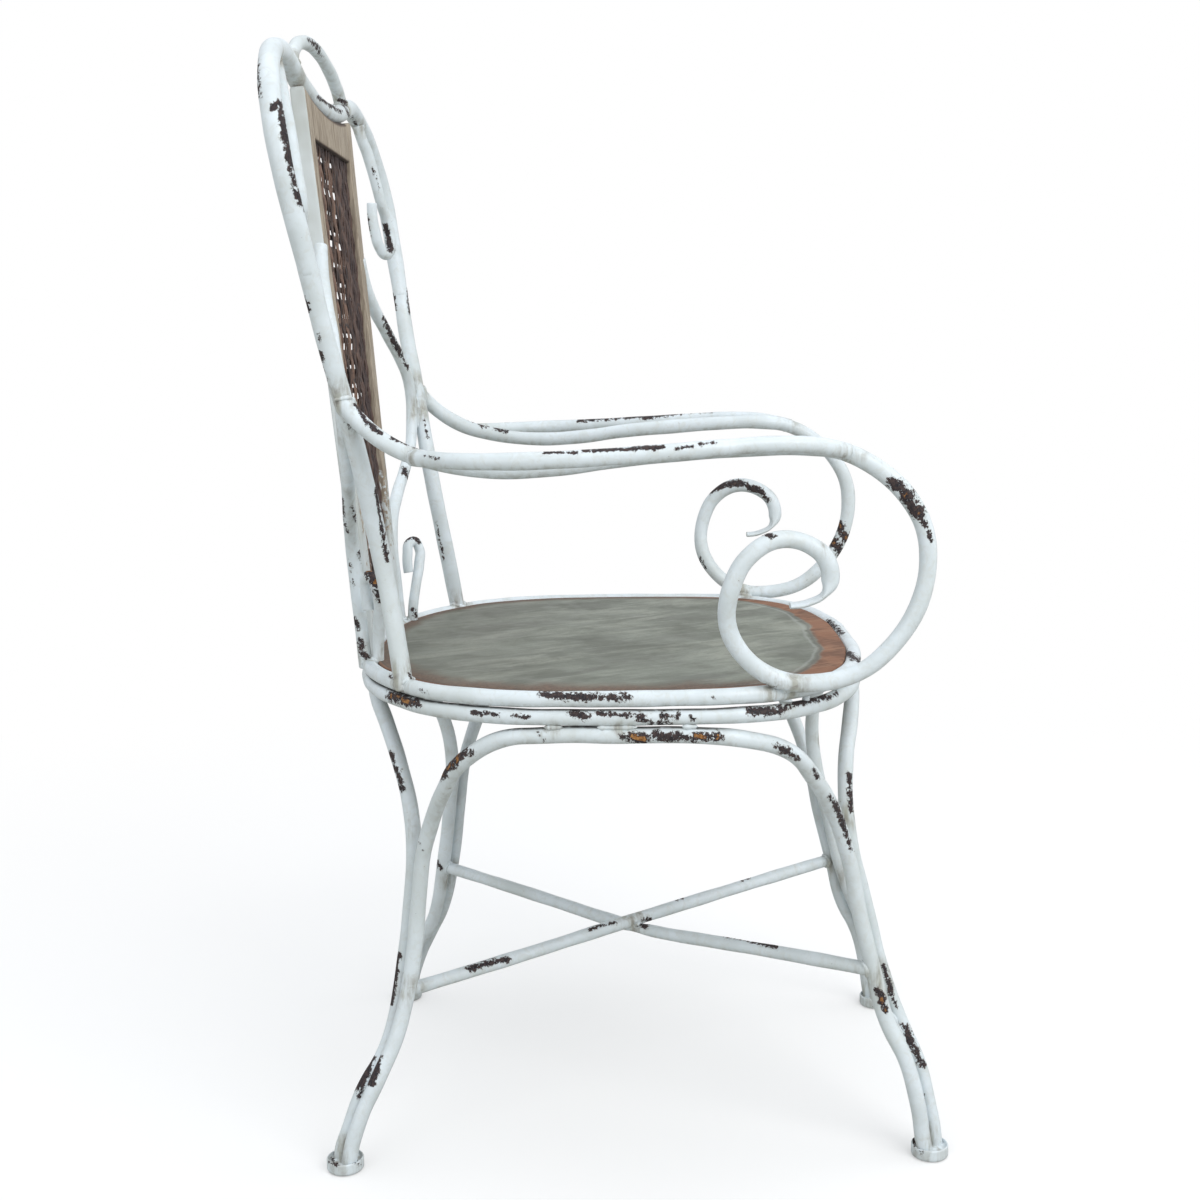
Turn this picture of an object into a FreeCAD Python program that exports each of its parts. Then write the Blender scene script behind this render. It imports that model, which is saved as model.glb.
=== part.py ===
import FreeCAD, Part
import os
import math
from FreeCAD import Vector, Rotation, Placement

# Garden armchair of bent and welded steel tube, with a woven timber-framed
# back splat and a sheet-steel seat.  Millimetres, +Z up, floor at Z = 0,
# chair front towards -Y, sitter's right towards -X, X = 0 is the middle plane.

doc = FreeCAD.newDocument("garden_armchair")

# ------------------------------------------------------------------ dimensions
dim = doc.addObject("Spreadsheet::Sheet", "Dimensions")
_row = [0]


def size(alias, value, note):
    _row[0] += 1
    cell = "B%d" % _row[0]
    dim.set("A%d" % _row[0], note)
    dim.set(cell, str(value))
    dim.setAlias(cell, alias)


size("hoop_tube_dia", 16.0, "back uprights, outside diameter")
size("crown_tube_dia", 17.4, "crown of the back, pushed on the uprights")
size("crest_tube_dia", 12.0, "small arch on top of the back")
size("scroll_tube_dia", 11.0, "hooked scroll beside each upright")
size("bracket_tube_dia", 12.0, "bowed bracket between splat and upright")
size("hook_tube_dia", 10.4, "small hook standing on the seat ring")
size("ring_tube_dia", 13.5, "both seat rings")
size("leg_tube_dia", 14.0, "four leg arches")
size("brace_tube_dia", 12.4, "crossed braces")
size("arm_tube_dia", 14.6, "arm with its front scroll")
size("rail_tube_dia", 13.4, "outer arm rail")
size("strip_wide", 19.0, "flattened tube end, across")
size("strip_thick", 5.0, "flattened tube end, thickness")
size("ring_high", 442.0, "upper seat ring, centre above floor")
size("ring_drop", 14.3, "lower ring below upper ring at the back")
size("ring_tilt_deg", 0.38, "lower ring dips towards the front")
size("ring_mid_y", 14.0, "rear pivot line of that dip")
size("seat_thick", 2.0, "seat sheet thickness")
size("seat_high", 446.6, "top face of the seat sheet")
size("seat_inset", 6.95, "seat edge inside the ring centreline")
size("seat_lip_deep", 5.0, "turned-down edge of the seat sheet")
size("foot_dia", 33.0, "foot cup outside diameter")
size("foot_high", 11.0, "foot cup height")
size("foot_bore_dia", 30.0, "foot cup recess diameter")
size("foot_floor", 4.5, "foot cup floor thickness")
size("foot_round", 1.0, "rounding of the cup edges")
size("splat_half_wide", 113.0, "splat centre to the outside of the stile blank")
size("stile_blank_wide", 60.0, "splat stile blank before it is sawn to its slant")
size("splat_field_half", 95.0, "rails and woven field before they are sawn, half width")
size("splat_thick", 13.0, "splat frame thickness")
size("splat_low", 463.0, "bottom edge of the bottom rail")
size("stile_low", 447.2, "bottom of the stile blank before it is fitted on the seat ring")
size("splat_high", 960.0, "top of the splat blank before it is shaped under the crown")
size("gap_low", 505.0, "bottom edge of the woven field")
size("gap_high", 905.0, "top edge of the woven field")
size("cane_thick", 3.0, "woven panel thickness")
size("cane_back", 1.5, "woven panel behind the frame middle")
size("tack_long", 9.0, "seat tack length")
size("tack_dia", 4.0, "seat tack diameter")
size("spacer_dia", 6.0, "ring spacer diameter")
doc.recompute()


def val(alias):
    return float(dim.get(alias))


def bind(obj, prop, expr):
    obj.setExpression(prop, expr)


# --------------------------------------------------------------------- routes
# Every bent tube is a chain of tangent arcs through the stations below.  The
# stations live in a sheet of their own, one row each: X, Y and Z.
way = doc.addObject("Spreadsheet::Sheet", "Routes")
_wrow = [0]


def stations(name, points):
    for i, p in enumerate(points):
        _wrow[0] += 1
        for col, c in zip("BCD", range(3)):
            way.set("%s%d" % (col, _wrow[0]), "%.2f" % p[c])
            way.setAlias("%s%d" % (col, _wrow[0]), "%s_n%02d_%s" % (name, i + 1, "xyz"[c]))
        way.set("A%d" % _wrow[0], "%s station %d" % (name, i + 1))
    way.recompute()
    return len(points)


def read_stations(name, count):
    out = []
    for i in range(count):
        out.append(Vector(*[float(way.get("%s_n%02d_%s" % (name, i + 1, c))) for c in "xyz"]))
    return out


def three_point_tangent(a, b, c):
    # tangent at b of the circle through a, b, c
    u, v = b - a, c - b
    lu, lv = u.Length, v.Length
    t = u * (lv / lu) + v * (lu / lv)
    return t.normalize()


def tangents(pts, closed, first=None, last=None):
    n = len(pts)
    out = []
    for i in range(n):
        if closed:
            out.append(three_point_tangent(pts[i - 1], pts[i], pts[(i + 1) % n]))
        elif i == 0 or i == n - 1:
            out.append(None)
        else:
            out.append(three_point_tangent(pts[i - 1], pts[i], pts[i + 1]))
    if not closed:
        def mirrored(p, q, t):
            d = (q - p)
            d = d * (1.0 / d.Length)
            return (d * (2 * d.dot(t)) - t).normalize()
        out[0] = first or mirrored(pts[0], pts[1], out[1])
        out[-1] = last or mirrored(pts[-2], pts[-1], out[-2])
    return out


def arc_edge(p, t, q):
    # the arc that leaves p along t and ends at q
    d = q - p
    if d.Length < 1e-6:
        return None
    side = d - t * d.dot(t)
    if side.Length < 1e-4 * d.Length:
        return Part.LineSegment(p, q).toShape()
    side = side * (1.0 / side.Length)
    dt, dn = d.dot(t), d.dot(side)
    r = d.Length * d.Length / (2 * dn)
    c = p + side * r
    ang = 2 * math.atan2(dn, dt)
    m = c - side * (r * math.cos(ang / 2)) + t * (r * math.sin(ang / 2))
    return Part.Arc(p, m, q).toShape()


def two_arcs(p, tp, q, tq):
    # tangent pair of arcs from p to q with the given end directions
    v = q - p
    s = tp + tq
    a = 2 * (1 - tp.dot(tq))
    b = 2 * v.dot(s)
    c = -v.dot(v)
    if a < 1e-9:
        d = -c / b
    else:
        d = (-b + math.sqrt(max(b * b - 4 * a * c, 0.0))) / (2 * a)
    j = (p + tp * d + q - tq * d) * 0.5
    g = (q - tq * d) - (p + tp * d)
    g = g.normalize()
    return [e for e in (arc_edge(p, tp, j), arc_edge(j, g, q)) if e]


def arc_chain(pts, closed=False, first=None, last=None):
    tg = tangents(pts, closed, first, last)
    edges = []
    n = len(pts)
    for i in range(n if closed else n - 1):
        k = (i + 1) % n
        edges += two_arcs(pts[i], tg[i], pts[k], tg[k])
    return edges, tg


def spine(name, count, closed=False, mirror_half=False, first=None, last=None):
    pts = read_stations(name, count)
    if mirror_half:
        # stations run from the +X end to the middle plane
        pts = pts + [Vector(-p.x, p.y, p.z) for p in reversed(pts[:-1])]
    edges, tg = arc_chain(pts, closed, first, last)
    obj = doc.addObject("Part::Feature", name + "_path")
    obj.Shape = Part.Wire(edges)
    return obj, pts, tg, edges


def across(direction):
    return Rotation(Vector(0, 0, 1), direction)


def tube(name, count, dia_alias, **kw):
    path, pts, tg, edges = spine(name, count, **kw)
    ring = doc.addObject("Part::Circle", name + "_section")
    bind(ring, "Radius", "Dimensions.%s / 2" % dia_alias)
    ring.Placement = Placement(pts[0], across(tg[0]))
    sw = doc.addObject("Part::Sweep", name + "_tube")
    sw.Sections = [ring]
    sw.Spine = (path, ["Edge%d" % (i + 1) for i in range(len(path.Shape.Edges))])
    sw.Solid = True
    sw.Frenet = False
    sw.Transition = "Right corner"
    doc.recompute()
    length = path.Shape.Length
    want = math.pi * val(dia_alias) ** 2 / 4 * length
    if abs(sw.Shape.Volume - want) > 0.02 * want:
        raise RuntimeError("%s: volume %.0f, section times length %.0f" % (name, sw.Shape.Volume, want))
    return sw


def cut(base, tools, name):
    # one saw cut per neighbour that reaches the piece
    if not isinstance(tools, (list, tuple)):
        tools = [tools]
    near = [t for t in tools if t.Shape.BoundBox.intersect(base.Shape.BoundBox)]
    out = base
    for k, tool in enumerate(near or tools[:1]):
        c = doc.addObject("Part::Cut", "%s_%d" % (name, k + 1))
        c.Base = out
        c.Tool = tool
        doc.recompute()
        if c.Shape.isNull() or not c.Shape.isValid():
            raise RuntimeError("%s: cut %d by %s failed" % (name, k + 1, tool.Name))
        out = c
    return out


def other_side(source, name):
    m = doc.addObject("Part::Mirroring", name)
    m.Source = source
    m.Base = (0, 0, 0)
    m.Normal = (1, 0, 0)
    doc.recompute()
    return m


PARTS = []


def part(obj, label):
    obj.Label = label
    PARTS.append((obj, label))
    return obj


# ------------------------------------------------------------------ seat rings
N_RING = stations("ring", [
    (0, 239, 0), (80, 236, 0), (146, 218, 0), (194, 189, 0), (222, 165, 0), (243, 130, 0), (256, 90, 0), (261, 30, 0),
    (260, -35, 0), (254, -90, 0), (240, -131, 0), (212, -164, 0), (165, -190, 0), (92, -207, 0), (0, -211, 0)])
_half = read_stations("ring", N_RING)
_loop = _half + [Vector(-p.x, p.y, p.z) for p in reversed(_half[1:-1])]
ring_edges, _ = arc_chain(_loop, closed=True)


def ring(name):
    path = doc.addObject("Part::Feature", name + "_path")
    path.Shape = Part.Wire(ring_edges)
    sec = doc.addObject("Part::Circle", name + "_section")
    bind(sec, "Radius", "Dimensions.ring_tube_dia / 2")
    sec.Placement = Placement(_loop[0], across(Vector(1, 0, 0)))
    sw = doc.addObject("Part::Sweep", name)
    sw.Sections = [sec]
    sw.Spine = (path, ["Edge%d" % (i + 1) for i in range(len(path.Shape.Edges))])
    sw.Solid = True
    sw.Frenet = False
    return sw


ring_up = ring("upper_ring")
ring_up.Placement = Placement(Vector(0, 0, val("ring_high")), Rotation())
bind(ring_up, "Placement.Base.z", "Dimensions.ring_high")
ring_low = ring("lower_ring")
tilt = val("ring_tilt_deg")
ring_low.Placement = Placement(Vector(0, 0, val("ring_high") - val("ring_drop")), Rotation(Vector(1, 0, 0), tilt),
                               Vector(0, val("ring_mid_y") * 10, 0))
doc.recompute()
part(ring_up, "seat_ring_upper")
part(ring_low, "seat_ring_lower")


# ----------------------------------------------------------------- body sketches
def plane_of(body, role):
    for f in body.Origin.OriginFeatures:
        if f.Role == role:
            return f
    raise RuntimeError(role)


def new_sketch(body, role, name, offset=None):
    sk = body.newObject("Sketcher::SketchObject", name)
    sk.AttachmentSupport = [(plane_of(body, role), "")]
    sk.MapMode = "FlatFace"
    if offset is not None:
        sk.AttachmentOffset = offset
    return sk


def add_flat_edges(sk, edges):
    # edges already lie in the sketch's own XY plane
    for e in edges:
        c = e.Curve
        a, b = e.FirstParameter, e.LastParameter
        if isinstance(c, Part.Circle):
            p, q = e.Vertexes[0].Point, e.Vertexes[-1].Point
            m = e.valueAt((a + b) / 2)
            sk.addGeometry(Part.Arc(p, m, q), False)
        else:
            sk.addGeometry(Part.LineSegment(e.valueAt(a), e.valueAt(b)), False)


# ------------------------------------------------------------------ seat sheet
def ring_wire(inset):
    w = Part.Wire(ring_edges)
    return w.makeOffset2D(-inset, 0, False, False, True) if inset else w


seat = doc.addObject("PartDesign::Body", "seat_sheet")
sk = new_sketch(seat, "XY_Plane", "seat_outline")
add_flat_edges(sk, ring_wire(val("seat_inset")).Edges)
pad = seat.newObject("PartDesign::Pad", "seat_blank")
pad.Profile = sk
bind(pad, "Length", "Dimensions.seat_lip_deep")
pad.Reversed = True
doc.recompute()
v0 = seat.Shape.Volume
sk2 = new_sketch(seat, "XY_Plane", "seat_hollow", Placement(Vector(0, 0, -val("seat_thick")), Rotation()))
bind(sk2, "AttachmentOffset.Base.z", "-Dimensions.seat_thick")
add_flat_edges(sk2, ring_wire(val("seat_inset") + val("seat_thick")).Edges)
pk = seat.newObject("PartDesign::Pocket", "seat_underside")
pk.Profile = sk2
pk.Length = 20.0
doc.recompute()
if not seat.Shape.Volume < 0.6 * v0:
    raise RuntimeError("seat pocket cut nothing")
seat.Placement = Placement(Vector(0, 0, val("seat_high")), Rotation())
bind(seat, "Placement.Base.z", "Dimensions.seat_high")
part(seat, "seat_sheet")

# ------------------------------------------------------------------ leg arches
N_SIDE = stations("side_arch", [
    (172.2, -265.2, -2), (171.9, -263.6, 12), (171, -257.5, 50), (166.5, -247.5, 88), (157.5, -231, 123), (154.5, -216.5, 180), (157, -207, 218),
    (166, -194.5, 276), (181, -181, 318), (207, -163.5, 354), (236, -133, 392.5), (252, -96, 406), (258.5, -55, 411),
    (260, 0, 411.9), (257.5, 60, 411.8), (251.5, 101, 406.8), (237, 135, 384), (208, 155, 350), (182, 169, 316), (170, 178, 287),
    (161.5, 185.5, 238), (160.5, 191.5, 188), (164, 199.5, 145), (172.5, 208, 115), (186, 224, 80), (193, 239, 48), (195.8, 249.3, 12), (196.3, 251, -2)])
N_FRONT = stations("front_arch", [
    (162.4, -275.6, -2), (161.9, -274.6, 12), (158, -268.5, 48), (153.5, -259.5, 84), (145.5, -244.5, 119), (141.5, -231, 155), (140.5, -212, 230),
    (142, -199.5, 280), (138, -195, 322), (126, -196.5, 356), (102, -203, 384), (72, -208.5, 403), (36, -211, 410.6), (0, -211.5, 411.5)])
N_BACK = stations("back_arch", [
    (185, 260.3, -2), (184.4, 258.4, 12), (181, 249, 40), (176.5, 239, 66), (164, 220.5, 98), (154, 211.5, 125), (147.5, 205, 159), (146, 194.5, 233),
    (146.5, 190, 285), (140, 194, 324), (126, 204, 357), (101, 218, 386), (72, 231, 405), (36, 237.5, 412.8), (0, 239.5, 414.3)])

side_full = tube("side_arch", N_SIDE, "leg_tube_dia")
front_full = tube("front_arch", N_FRONT, "leg_tube_dia", mirror_half=True)
back_full = tube("back_arch", N_BACK, "leg_tube_dia", mirror_half=True)

# the tube ends are sawn level, standing on the floor of each foot cup
floor_box = doc.addObject("Part::Box", "below_cup_floor")
floor_box.Length = 900
floor_box.Width = 900
bind(floor_box, "Height", "100 + Dimensions.foot_floor")
floor_box.Placement = Placement(Vector(-450, -450, -100), Rotation())
doc.recompute()

arch_left = part(cut(side_full, floor_box, "side_arch_cut"), "leg_arch_left")
arch_right = part(other_side(arch_left, "side_arch_mirror"), "leg_arch_right")
arch_front = part(cut(front_full, floor_box, "front_arch_cut"), "leg_arch_front")
arch_back = part(cut(back_full, floor_box, "back_arch_cut"), "leg_arch_back")


# ------------------------------------------------------------------- foot cups
def foot(name, label, x, y):
    body = doc.addObject("PartDesign::Body", name)
    s = new_sketch(body, "XY_Plane", name + "_disc")
    s.addGeometry(Part.Circle(Vector(0, 0, 0), Vector(0, 0, 1), val("foot_dia") / 2), False)
    import Sketcher
    s.addConstraint(Sketcher.Constraint("Coincident", 0, 3, -1, 1))
    i = s.addConstraint(Sketcher.Constraint("Radius", 0, val("foot_dia") / 2))
    s.setExpression("Constraints[%d]" % i, "Dimensions.foot_dia / 2")
    p = body.newObject("PartDesign::Pad", name + "_blank")
    p.Profile = s
    bind(p, "Length", "Dimensions.foot_high")
    doc.recompute()
    v1 = body.Shape.Volume
    s2 = new_sketch(body, "XY_Plane", name + "_recess", Placement(Vector(0, 0, val("foot_floor")), Rotation()))
    bind(s2, "AttachmentOffset.Base.z", "Dimensions.foot_floor")
    s2.addGeometry(Part.Circle(Vector(0, 0, 0), Vector(0, 0, 1), val("foot_bore_dia") / 2), False)
    s2.addConstraint(Sketcher.Constraint("Coincident", 0, 3, -1, 1))
    i = s2.addConstraint(Sketcher.Constraint("Radius", 0, val("foot_bore_dia") / 2))
    s2.setExpression("Constraints[%d]" % i, "Dimensions.foot_bore_dia / 2")
    q = body.newObject("PartDesign::Pocket", name + "_hollow")
    q.Profile = s2
    q.Length = 40.0
    q.Reversed = True
    doc.recompute()
    if not body.Shape.Volume < 0.75 * v1:
        raise RuntimeError(name + " recess cut nothing")
    rims = []
    for k, e in enumerate(body.Shape.Edges):
        if isinstance(e.Curve, Part.Circle) and abs(e.Curve.Radius - val("foot_dia") / 2) < 0.01 and e.Length > 50:
            rims.append("Edge%d" % (k + 1))
    fl = body.newObject("PartDesign::Fillet", name + "_edges")
    fl.Base = (q, rims)
    bind(fl, "Radius", "Dimensions.foot_round")
    doc.recompute()
    body.Placement = Placement(Vector(x, y, 0), Rotation())
    doc.recompute()
    return part(body, label)


foot_bl = foot("cup_bl", "foot_back_left", 190.35, 254.5)
foot_fl = foot("cup_fl", "foot_front_left", 167.05, -269.6)
foot_br = part(other_side(foot_bl, "cup_br"), "foot_back_right")
foot_fr = part(other_side(foot_fl, "cup_fr"), "foot_front_right")

# ------------------------------------------------------------- crossed braces
N_BA = stations("brace_a", [(-151, 204.5, 149), (-75, 100, 153.7), (0, -3.5, 160), (77, -109, 165.2), (155, -216.5, 170)])
N_BB = stations("brace_b", [(149.5, 202, 167), (105, 141, 163.3), (55, 72, 158.3), (20, 23, 154.2), (0, -3.5, 153.4), (-20, -31, 154.2),
                            (-55, -79, 158.6), (-106, -149, 165), (-155, -216.5, 170)])
brace_a = part(cut(tube("brace_a", N_BA, "brace_tube_dia"), [arch_right, arch_back, arch_left, arch_front], "brace_a_coped"), "brace_upper")
# the lower brace is crimped where the upper one crosses it
brace_b = part(cut(tube("brace_b", N_BB, "brace_tube_dia"), [brace_a, arch_right, arch_back, arch_left, arch_front], "brace_b_coped"),
               "brace_lower")

# ----------------------------------------------------------------- back frame
N_UP = stations("upright", [
    (202.2, 185.4, 439.5), (197, 191.5, 482), (192, 200, 535), (193.5, 209, 587), (203, 217.5, 638), (217, 226, 685), (230, 236.5, 738),
    (244, 244.3, 788)])
# upright and crown meet square on one shared direction
_up_end = read_stations("upright", N_UP)[-1]
JOIN_DIR = (Vector(255.5, 251, 828) - Vector(230, 236.5, 738)).normalize()
up_full = tube("upright", N_UP, "hoop_tube_dia", last=JOIN_DIR)
N_CR = stations("crown", [
    (244, 244.3, 788), (255.5, 251, 828), (262, 255.5, 855), (263, 259.2, 879), (257.5, 263, 900), (246, 267.5, 922), (234.5, 270, 936),
    (219.5, 272.5, 948.3), (200, 275, 958.3), (178.7, 276.5, 964.2), (155, 277, 966.8), (128, 276.5, 961.8), (92, 276.5, 953), (50, 276.5, 946.8), (0, 276.5, 944.5)])
crown = part(tube("crown", N_CR, "crown_tube_dia", mirror_half=True, first=JOIN_DIR,
                  last=Vector(JOIN_DIR.x, -JOIN_DIR.y, -JOIN_DIR.z)), "back_crown")

upright_left = part(cut(up_full, ring_up, "upright_coped"), "upright_left")
upright_right = part(other_side(upright_left, "upright_mirror"), "upright_right")

N_CREST = stations("crest", [(115, 277, 956), (108, 278, 970), (88, 279, 982.5), (50, 280, 993.5), (0, 280.3, 998)])
crest = part(cut(tube("crest", N_CREST, "crest_tube_dia", mirror_half=True), crown, "crest_coped"), "crest_arch")

N_SC = stations("scroll", [
    (188.5, 274.8, 954.5), (193.5, 271.5, 941.5), (201.5, 267.8, 929), (206.5, 264.6, 915), (211.5, 261.2, 898), (218, 257.5, 878.5),
    (227.5, 253.6, 860), (231.5, 250.5, 845), (226.5, 251, 830.5), (214.5, 255, 825.5), (205, 259.5, 834), (200, 262.5, 850), (197.5, 264, 864), (197, 264, 877)])
scroll_l = part(cut(tube("scroll", N_SC, "scroll_tube_dia"), crown, "scroll_coped"), "back_scroll_left")
scroll_r = part(other_side(scroll_l, "scroll_mirror"), "back_scroll_right")

# ---------------------------------------------------------------- back splat
# side profile of the splat: Y against Z, front to back thickness constant
N_PROF = stations("splat", [(0, 235.7, 438), (0, 240, 510), (0, 243.9, 560), (0, 251.2, 650), (0, 258.3, 740), (0, 264.9, 820),
                            (0, 270.5, 890), (0, 276, 965)])
_prof = read_stations("splat", N_PROF)


def profile_arcs():
    pts = [Vector(p.y, p.z, 0) for p in _prof]
    edges, tg = arc_chain(pts)
    return Part.Wire(edges)


def profile_beside(off):
    # the side profile moved off its middle line; neighbouring arcs keep a common end point
    run = []
    for e in profile_arcs().OrderedEdges:
        u0, u1 = e.FirstParameter, e.LastParameter
        trio = [(e.valueAt(u), e.tangentAt(u)) for u in (u0, (u0 + u1) / 2, u1)]
        if trio[0][0].y > trio[2][0].y:
            trio = [(q, t * -1) for q, t in reversed(trio)]
        run.append(trio)
    at = [run[0][0]] + [(f[2][0], f[2][1] + g[0][1]) for f, g in zip(run, run[1:])] + [run[-1][2]]

    def moved(q, t):
        return q + Vector(t.y, -t.x, 0).normalize() * off
    edges = []
    for k, trio in enumerate(run):
        q0, q1, q2 = moved(*at[k]), moved(*trio[1]), moved(*at[k + 1])
        bow = (q1 - (q0 + q2) * 0.5).Length
        edges.append((Part.LineSegment(q0, q2) if bow < 1e-5 else Part.Arc(q0, q1, q2)).toShape())
    return Part.Wire(edges)


def band(low, high, thick, shift=0.0):
    # closed outline of the curved board between two heights, in (Y, Z)
    box_in = Part.Face(Part.makePolygon([Vector(-500, low, 0), Vector(900, low, 0), Vector(900, high, 0), Vector(-500, high, 0),
                                         Vector(-500, low, 0)]))
    a = profile_beside(thick / 2 + shift).common(box_in)
    b = profile_beside(-thick / 2 + shift).common(box_in)
    ea = sorted(a.Edges, key=lambda e: e.CenterOfMass.y)
    eb = sorted(b.Edges, key=lambda e: e.CenterOfMass.y)

    def ends(es):
        vs = [v.Point for e in es for v in e.Vertexes]
        return min(vs, key=lambda p: p.y), max(vs, key=lambda p: p.y)
    a0, a1 = ends(ea)
    b0, b1 = ends(eb)
    return ea + eb + [Part.LineSegment(a0, b0).toShape(), Part.LineSegment(a1, b1).toShape()]


YZ = "YZ_Plane"


def board(name, low, high, thick, x0, width, shift=0.0, alias_len=None):
    # a board of the curved side profile, sawn to a width along X
    body = doc.addObject("PartDesign::Body", name)
    s = new_sketch(body, YZ, name + "_profile", Placement(Vector(0, 0, x0), Rotation()))
    add_flat_edges(s, band(low, high, thick, shift))
    p = body.newObject("PartDesign::Pad", name + "_saw")
    p.Profile = s
    p.Length = width
    if alias_len:
        bind(p, "Length", alias_len)
    doc.recompute()
    return body


half_w = val("splat_half_wide")
t_sp = val("splat_thick")
field = val("splat_field_half")
stile_l0 = board("stile_l", val("stile_low"), val("splat_high"), t_sp, half_w - val("stile_blank_wide"), val("stile_blank_wide"), 0.0,
                 "Dimensions.stile_blank_wide")


def slant(z, inset=0.0):
    # outer edge of the splat, wider towards the top
    return 81.3 + (z - 440) * 0.0568 - inset


def saw(body, tag, outlines):
    # saws outlines given in (X, Z) right through the curved board
    for n, outline in enumerate(outlines):
        s_t = new_sketch(body, "XZ_Plane", tag + "_line_%d" % (n + 1))
        ring_pts = [Vector(x, z, 0) for x, z in outline]
        for k in range(len(ring_pts)):
            s_t.addGeometry(Part.LineSegment(ring_pts[k], ring_pts[(k + 1) % len(ring_pts)]), False)
        pk_t = body.newObject("PartDesign::Pocket", tag + "_saw_%d" % (n + 1))
        pk_t.Profile = s_t
        pk_t.Length = 1200.0
        pk_t.Midplane = True
        before = body.Shape.Volume
        doc.recompute()
        if not body.Shape.Volume < before - 100:
            raise RuntimeError(tag + " saw cut nothing")


# top edge of the boards, a hairline under the sagging crown
CROWN_LINE = [(0, 935.3), (25, 935.8), (50, 937.4), (75, 940.6), (92, 943.5), (115, 948.0)]
STILE_FACE = 23.0
saw(stile_l0, "stile", [
    [(slant(430), 430), (slant(980), 980), (150, 980), (150, 430)],
    [(20, 430), (slant(430, STILE_FACE), 430), (slant(980, STILE_FACE), 980), (20, 980)],
    [(48, 937.2)] + CROWN_LINE[3:] + [(160, 948.0), (160, 1000), (48, 1000)]])
field = val("splat_field_half")
top0 = board("rail_top", val("gap_high"), val("splat_high"), t_sp, -field, 2 * field, 0.0, "2 * Dimensions.splat_field_half")
bot0 = board("rail_bottom", val("splat_low"), val("gap_low"), t_sp, -field, 2 * field, 0.0, "2 * Dimensions.splat_field_half")
cane0 = board("cane", val("gap_low"), val("gap_high"), val("cane_thick"), -field, 2 * field, -val("cane_back"),
              "2 * Dimensions.splat_field_half")
waste = [[(slant(430, 19), 430), (slant(980, 19), 980), (190, 980), (190, 430)],
         [(-slant(430, 19), 430), (-190, 430), (-190, 980), (-slant(980, 19), 980)]]
saw(top0, "rail_top", [[(-x, z) for x, z in reversed(CROWN_LINE[1:])] + CROWN_LINE + [(115, 1000), (-115, 1000)]] + waste)
saw(bot0, "rail_bottom", waste)
saw(cane0, "cane", waste)

stile_l = part(cut(stile_l0, [ring_up], "stile_fitted"), "splat_stile_left")
stile_r = part(other_side(stile_l, "stile_mirror"), "splat_stile_right")
rail_top = part(cut(top0, [stile_l, stile_r], "rail_top_fitted"), "splat_top_rail")
rail_bot = part(cut(bot0, [stile_l, stile_r], "rail_bottom_fitted"), "splat_bottom_rail")
cane = part(cut(cane0, [stile_l, stile_r], "cane_fitted"), "splat_woven_panel")

# bowed brackets from the splat edge to the upright and back to the ring
N_BR = stations("bracket", [
    (98, 262, 813), (108.5, 259.5, 791), (124, 254.5, 768), (151, 246, 742), (179, 238, 717), (194, 232, 696), (200, 229.5, 672), (194.5, 229, 645),
    (183, 230, 620), (161, 234, 597), (135, 238.5, 574), (114, 241, 549), (106.5, 240.5, 520), (106, 238, 487), (106, 234.5, 440)])
br0 = tube("bracket", N_BR, "bracket_tube_dia")
bracket_l = part(cut(br0, [ring_up, ring_low, seat, stile_l, upright_left], "bracket_coped"), "back_bracket_left")
bracket_r = part(other_side(bracket_l, "bracket_mirror"), "back_bracket_right")

# small hooks standing on the seat ring beside the brackets
N_HK = stations("hook", [
    (111, 222.5, 441), (111.5, 221.5, 462), (118, 219, 482), (129, 216.5, 503), (137, 217, 517.5), (136.5, 221.5, 525.5), (130.5, 226.5, 524),
    (125.5, 228, 513), (122, 227, 495)])
hk0 = tube("hook", N_HK, "hook_tube_dia")
hook_l = part(cut(hk0, [ring_up, seat, bracket_l], "hook_coped"), "seat_hook_left")
hook_r = part(other_side(hook_l, "hook_mirror"), "seat_hook_right")

# ------------------------------------------------------------------------ arms
N_ARM = stations("arm", [
    (217, 227, 684), (223, 213.5, 667), (231, 182, 643.5), (236, 137, 630), (240, 92, 625.5), (239.5, 48, 627.5), (236, 0, 633.5),
    (235, -52, 637.5), (235, -104, 640.5), (236, -146, 641), (238.5, -178, 636.5), (240, -205, 622.5), (241, -228, 601),
    (242, -242.5, 573), (243, -245, 545), (244, -237.5, 512), (245, -219, 482.5), (247, -193, 460.5), (249, -160, 451.5), (250.5, -127, 454),
    (255, -99, 472.5), (261, -84, 500), (268, -86, 531), (269.5, -99.5, 556.5), (266, -122, 569.5), (262, -145, 566.5), (258.5, -162, 552.5),
    (256.5, -165.5, 535)])
N_RAIL = stations("rail", [
    (247.5, 165, 636.5), (269, 147, 636.3), (291, 122, 636), (304, 85, 636.3), (305.5, 45, 637.2), (301, 3, 639), (294.5, -38, 641),
    (285, -78, 643.5), (272, -117, 645), (257, -152, 643), (243, -180, 637)])

arm0 = tube("arm", N_ARM, "arm_tube_dia")

# flattened tube end that curls in from the front scroll
N_STRIP = stations("strip", [(256.5, -165.5, 535), (255.5, -160.5, 524), (254.8, -149.5, 518), (254.5, -134, 515.5)])
_arm_pts = read_stations("arm", N_ARM)
_, _arm_tg = arc_chain(_arm_pts)
_tend = _arm_tg[-1]
_sp, _spts, _stg, _sedges = spine("strip", N_STRIP, first=_tend)


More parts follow.
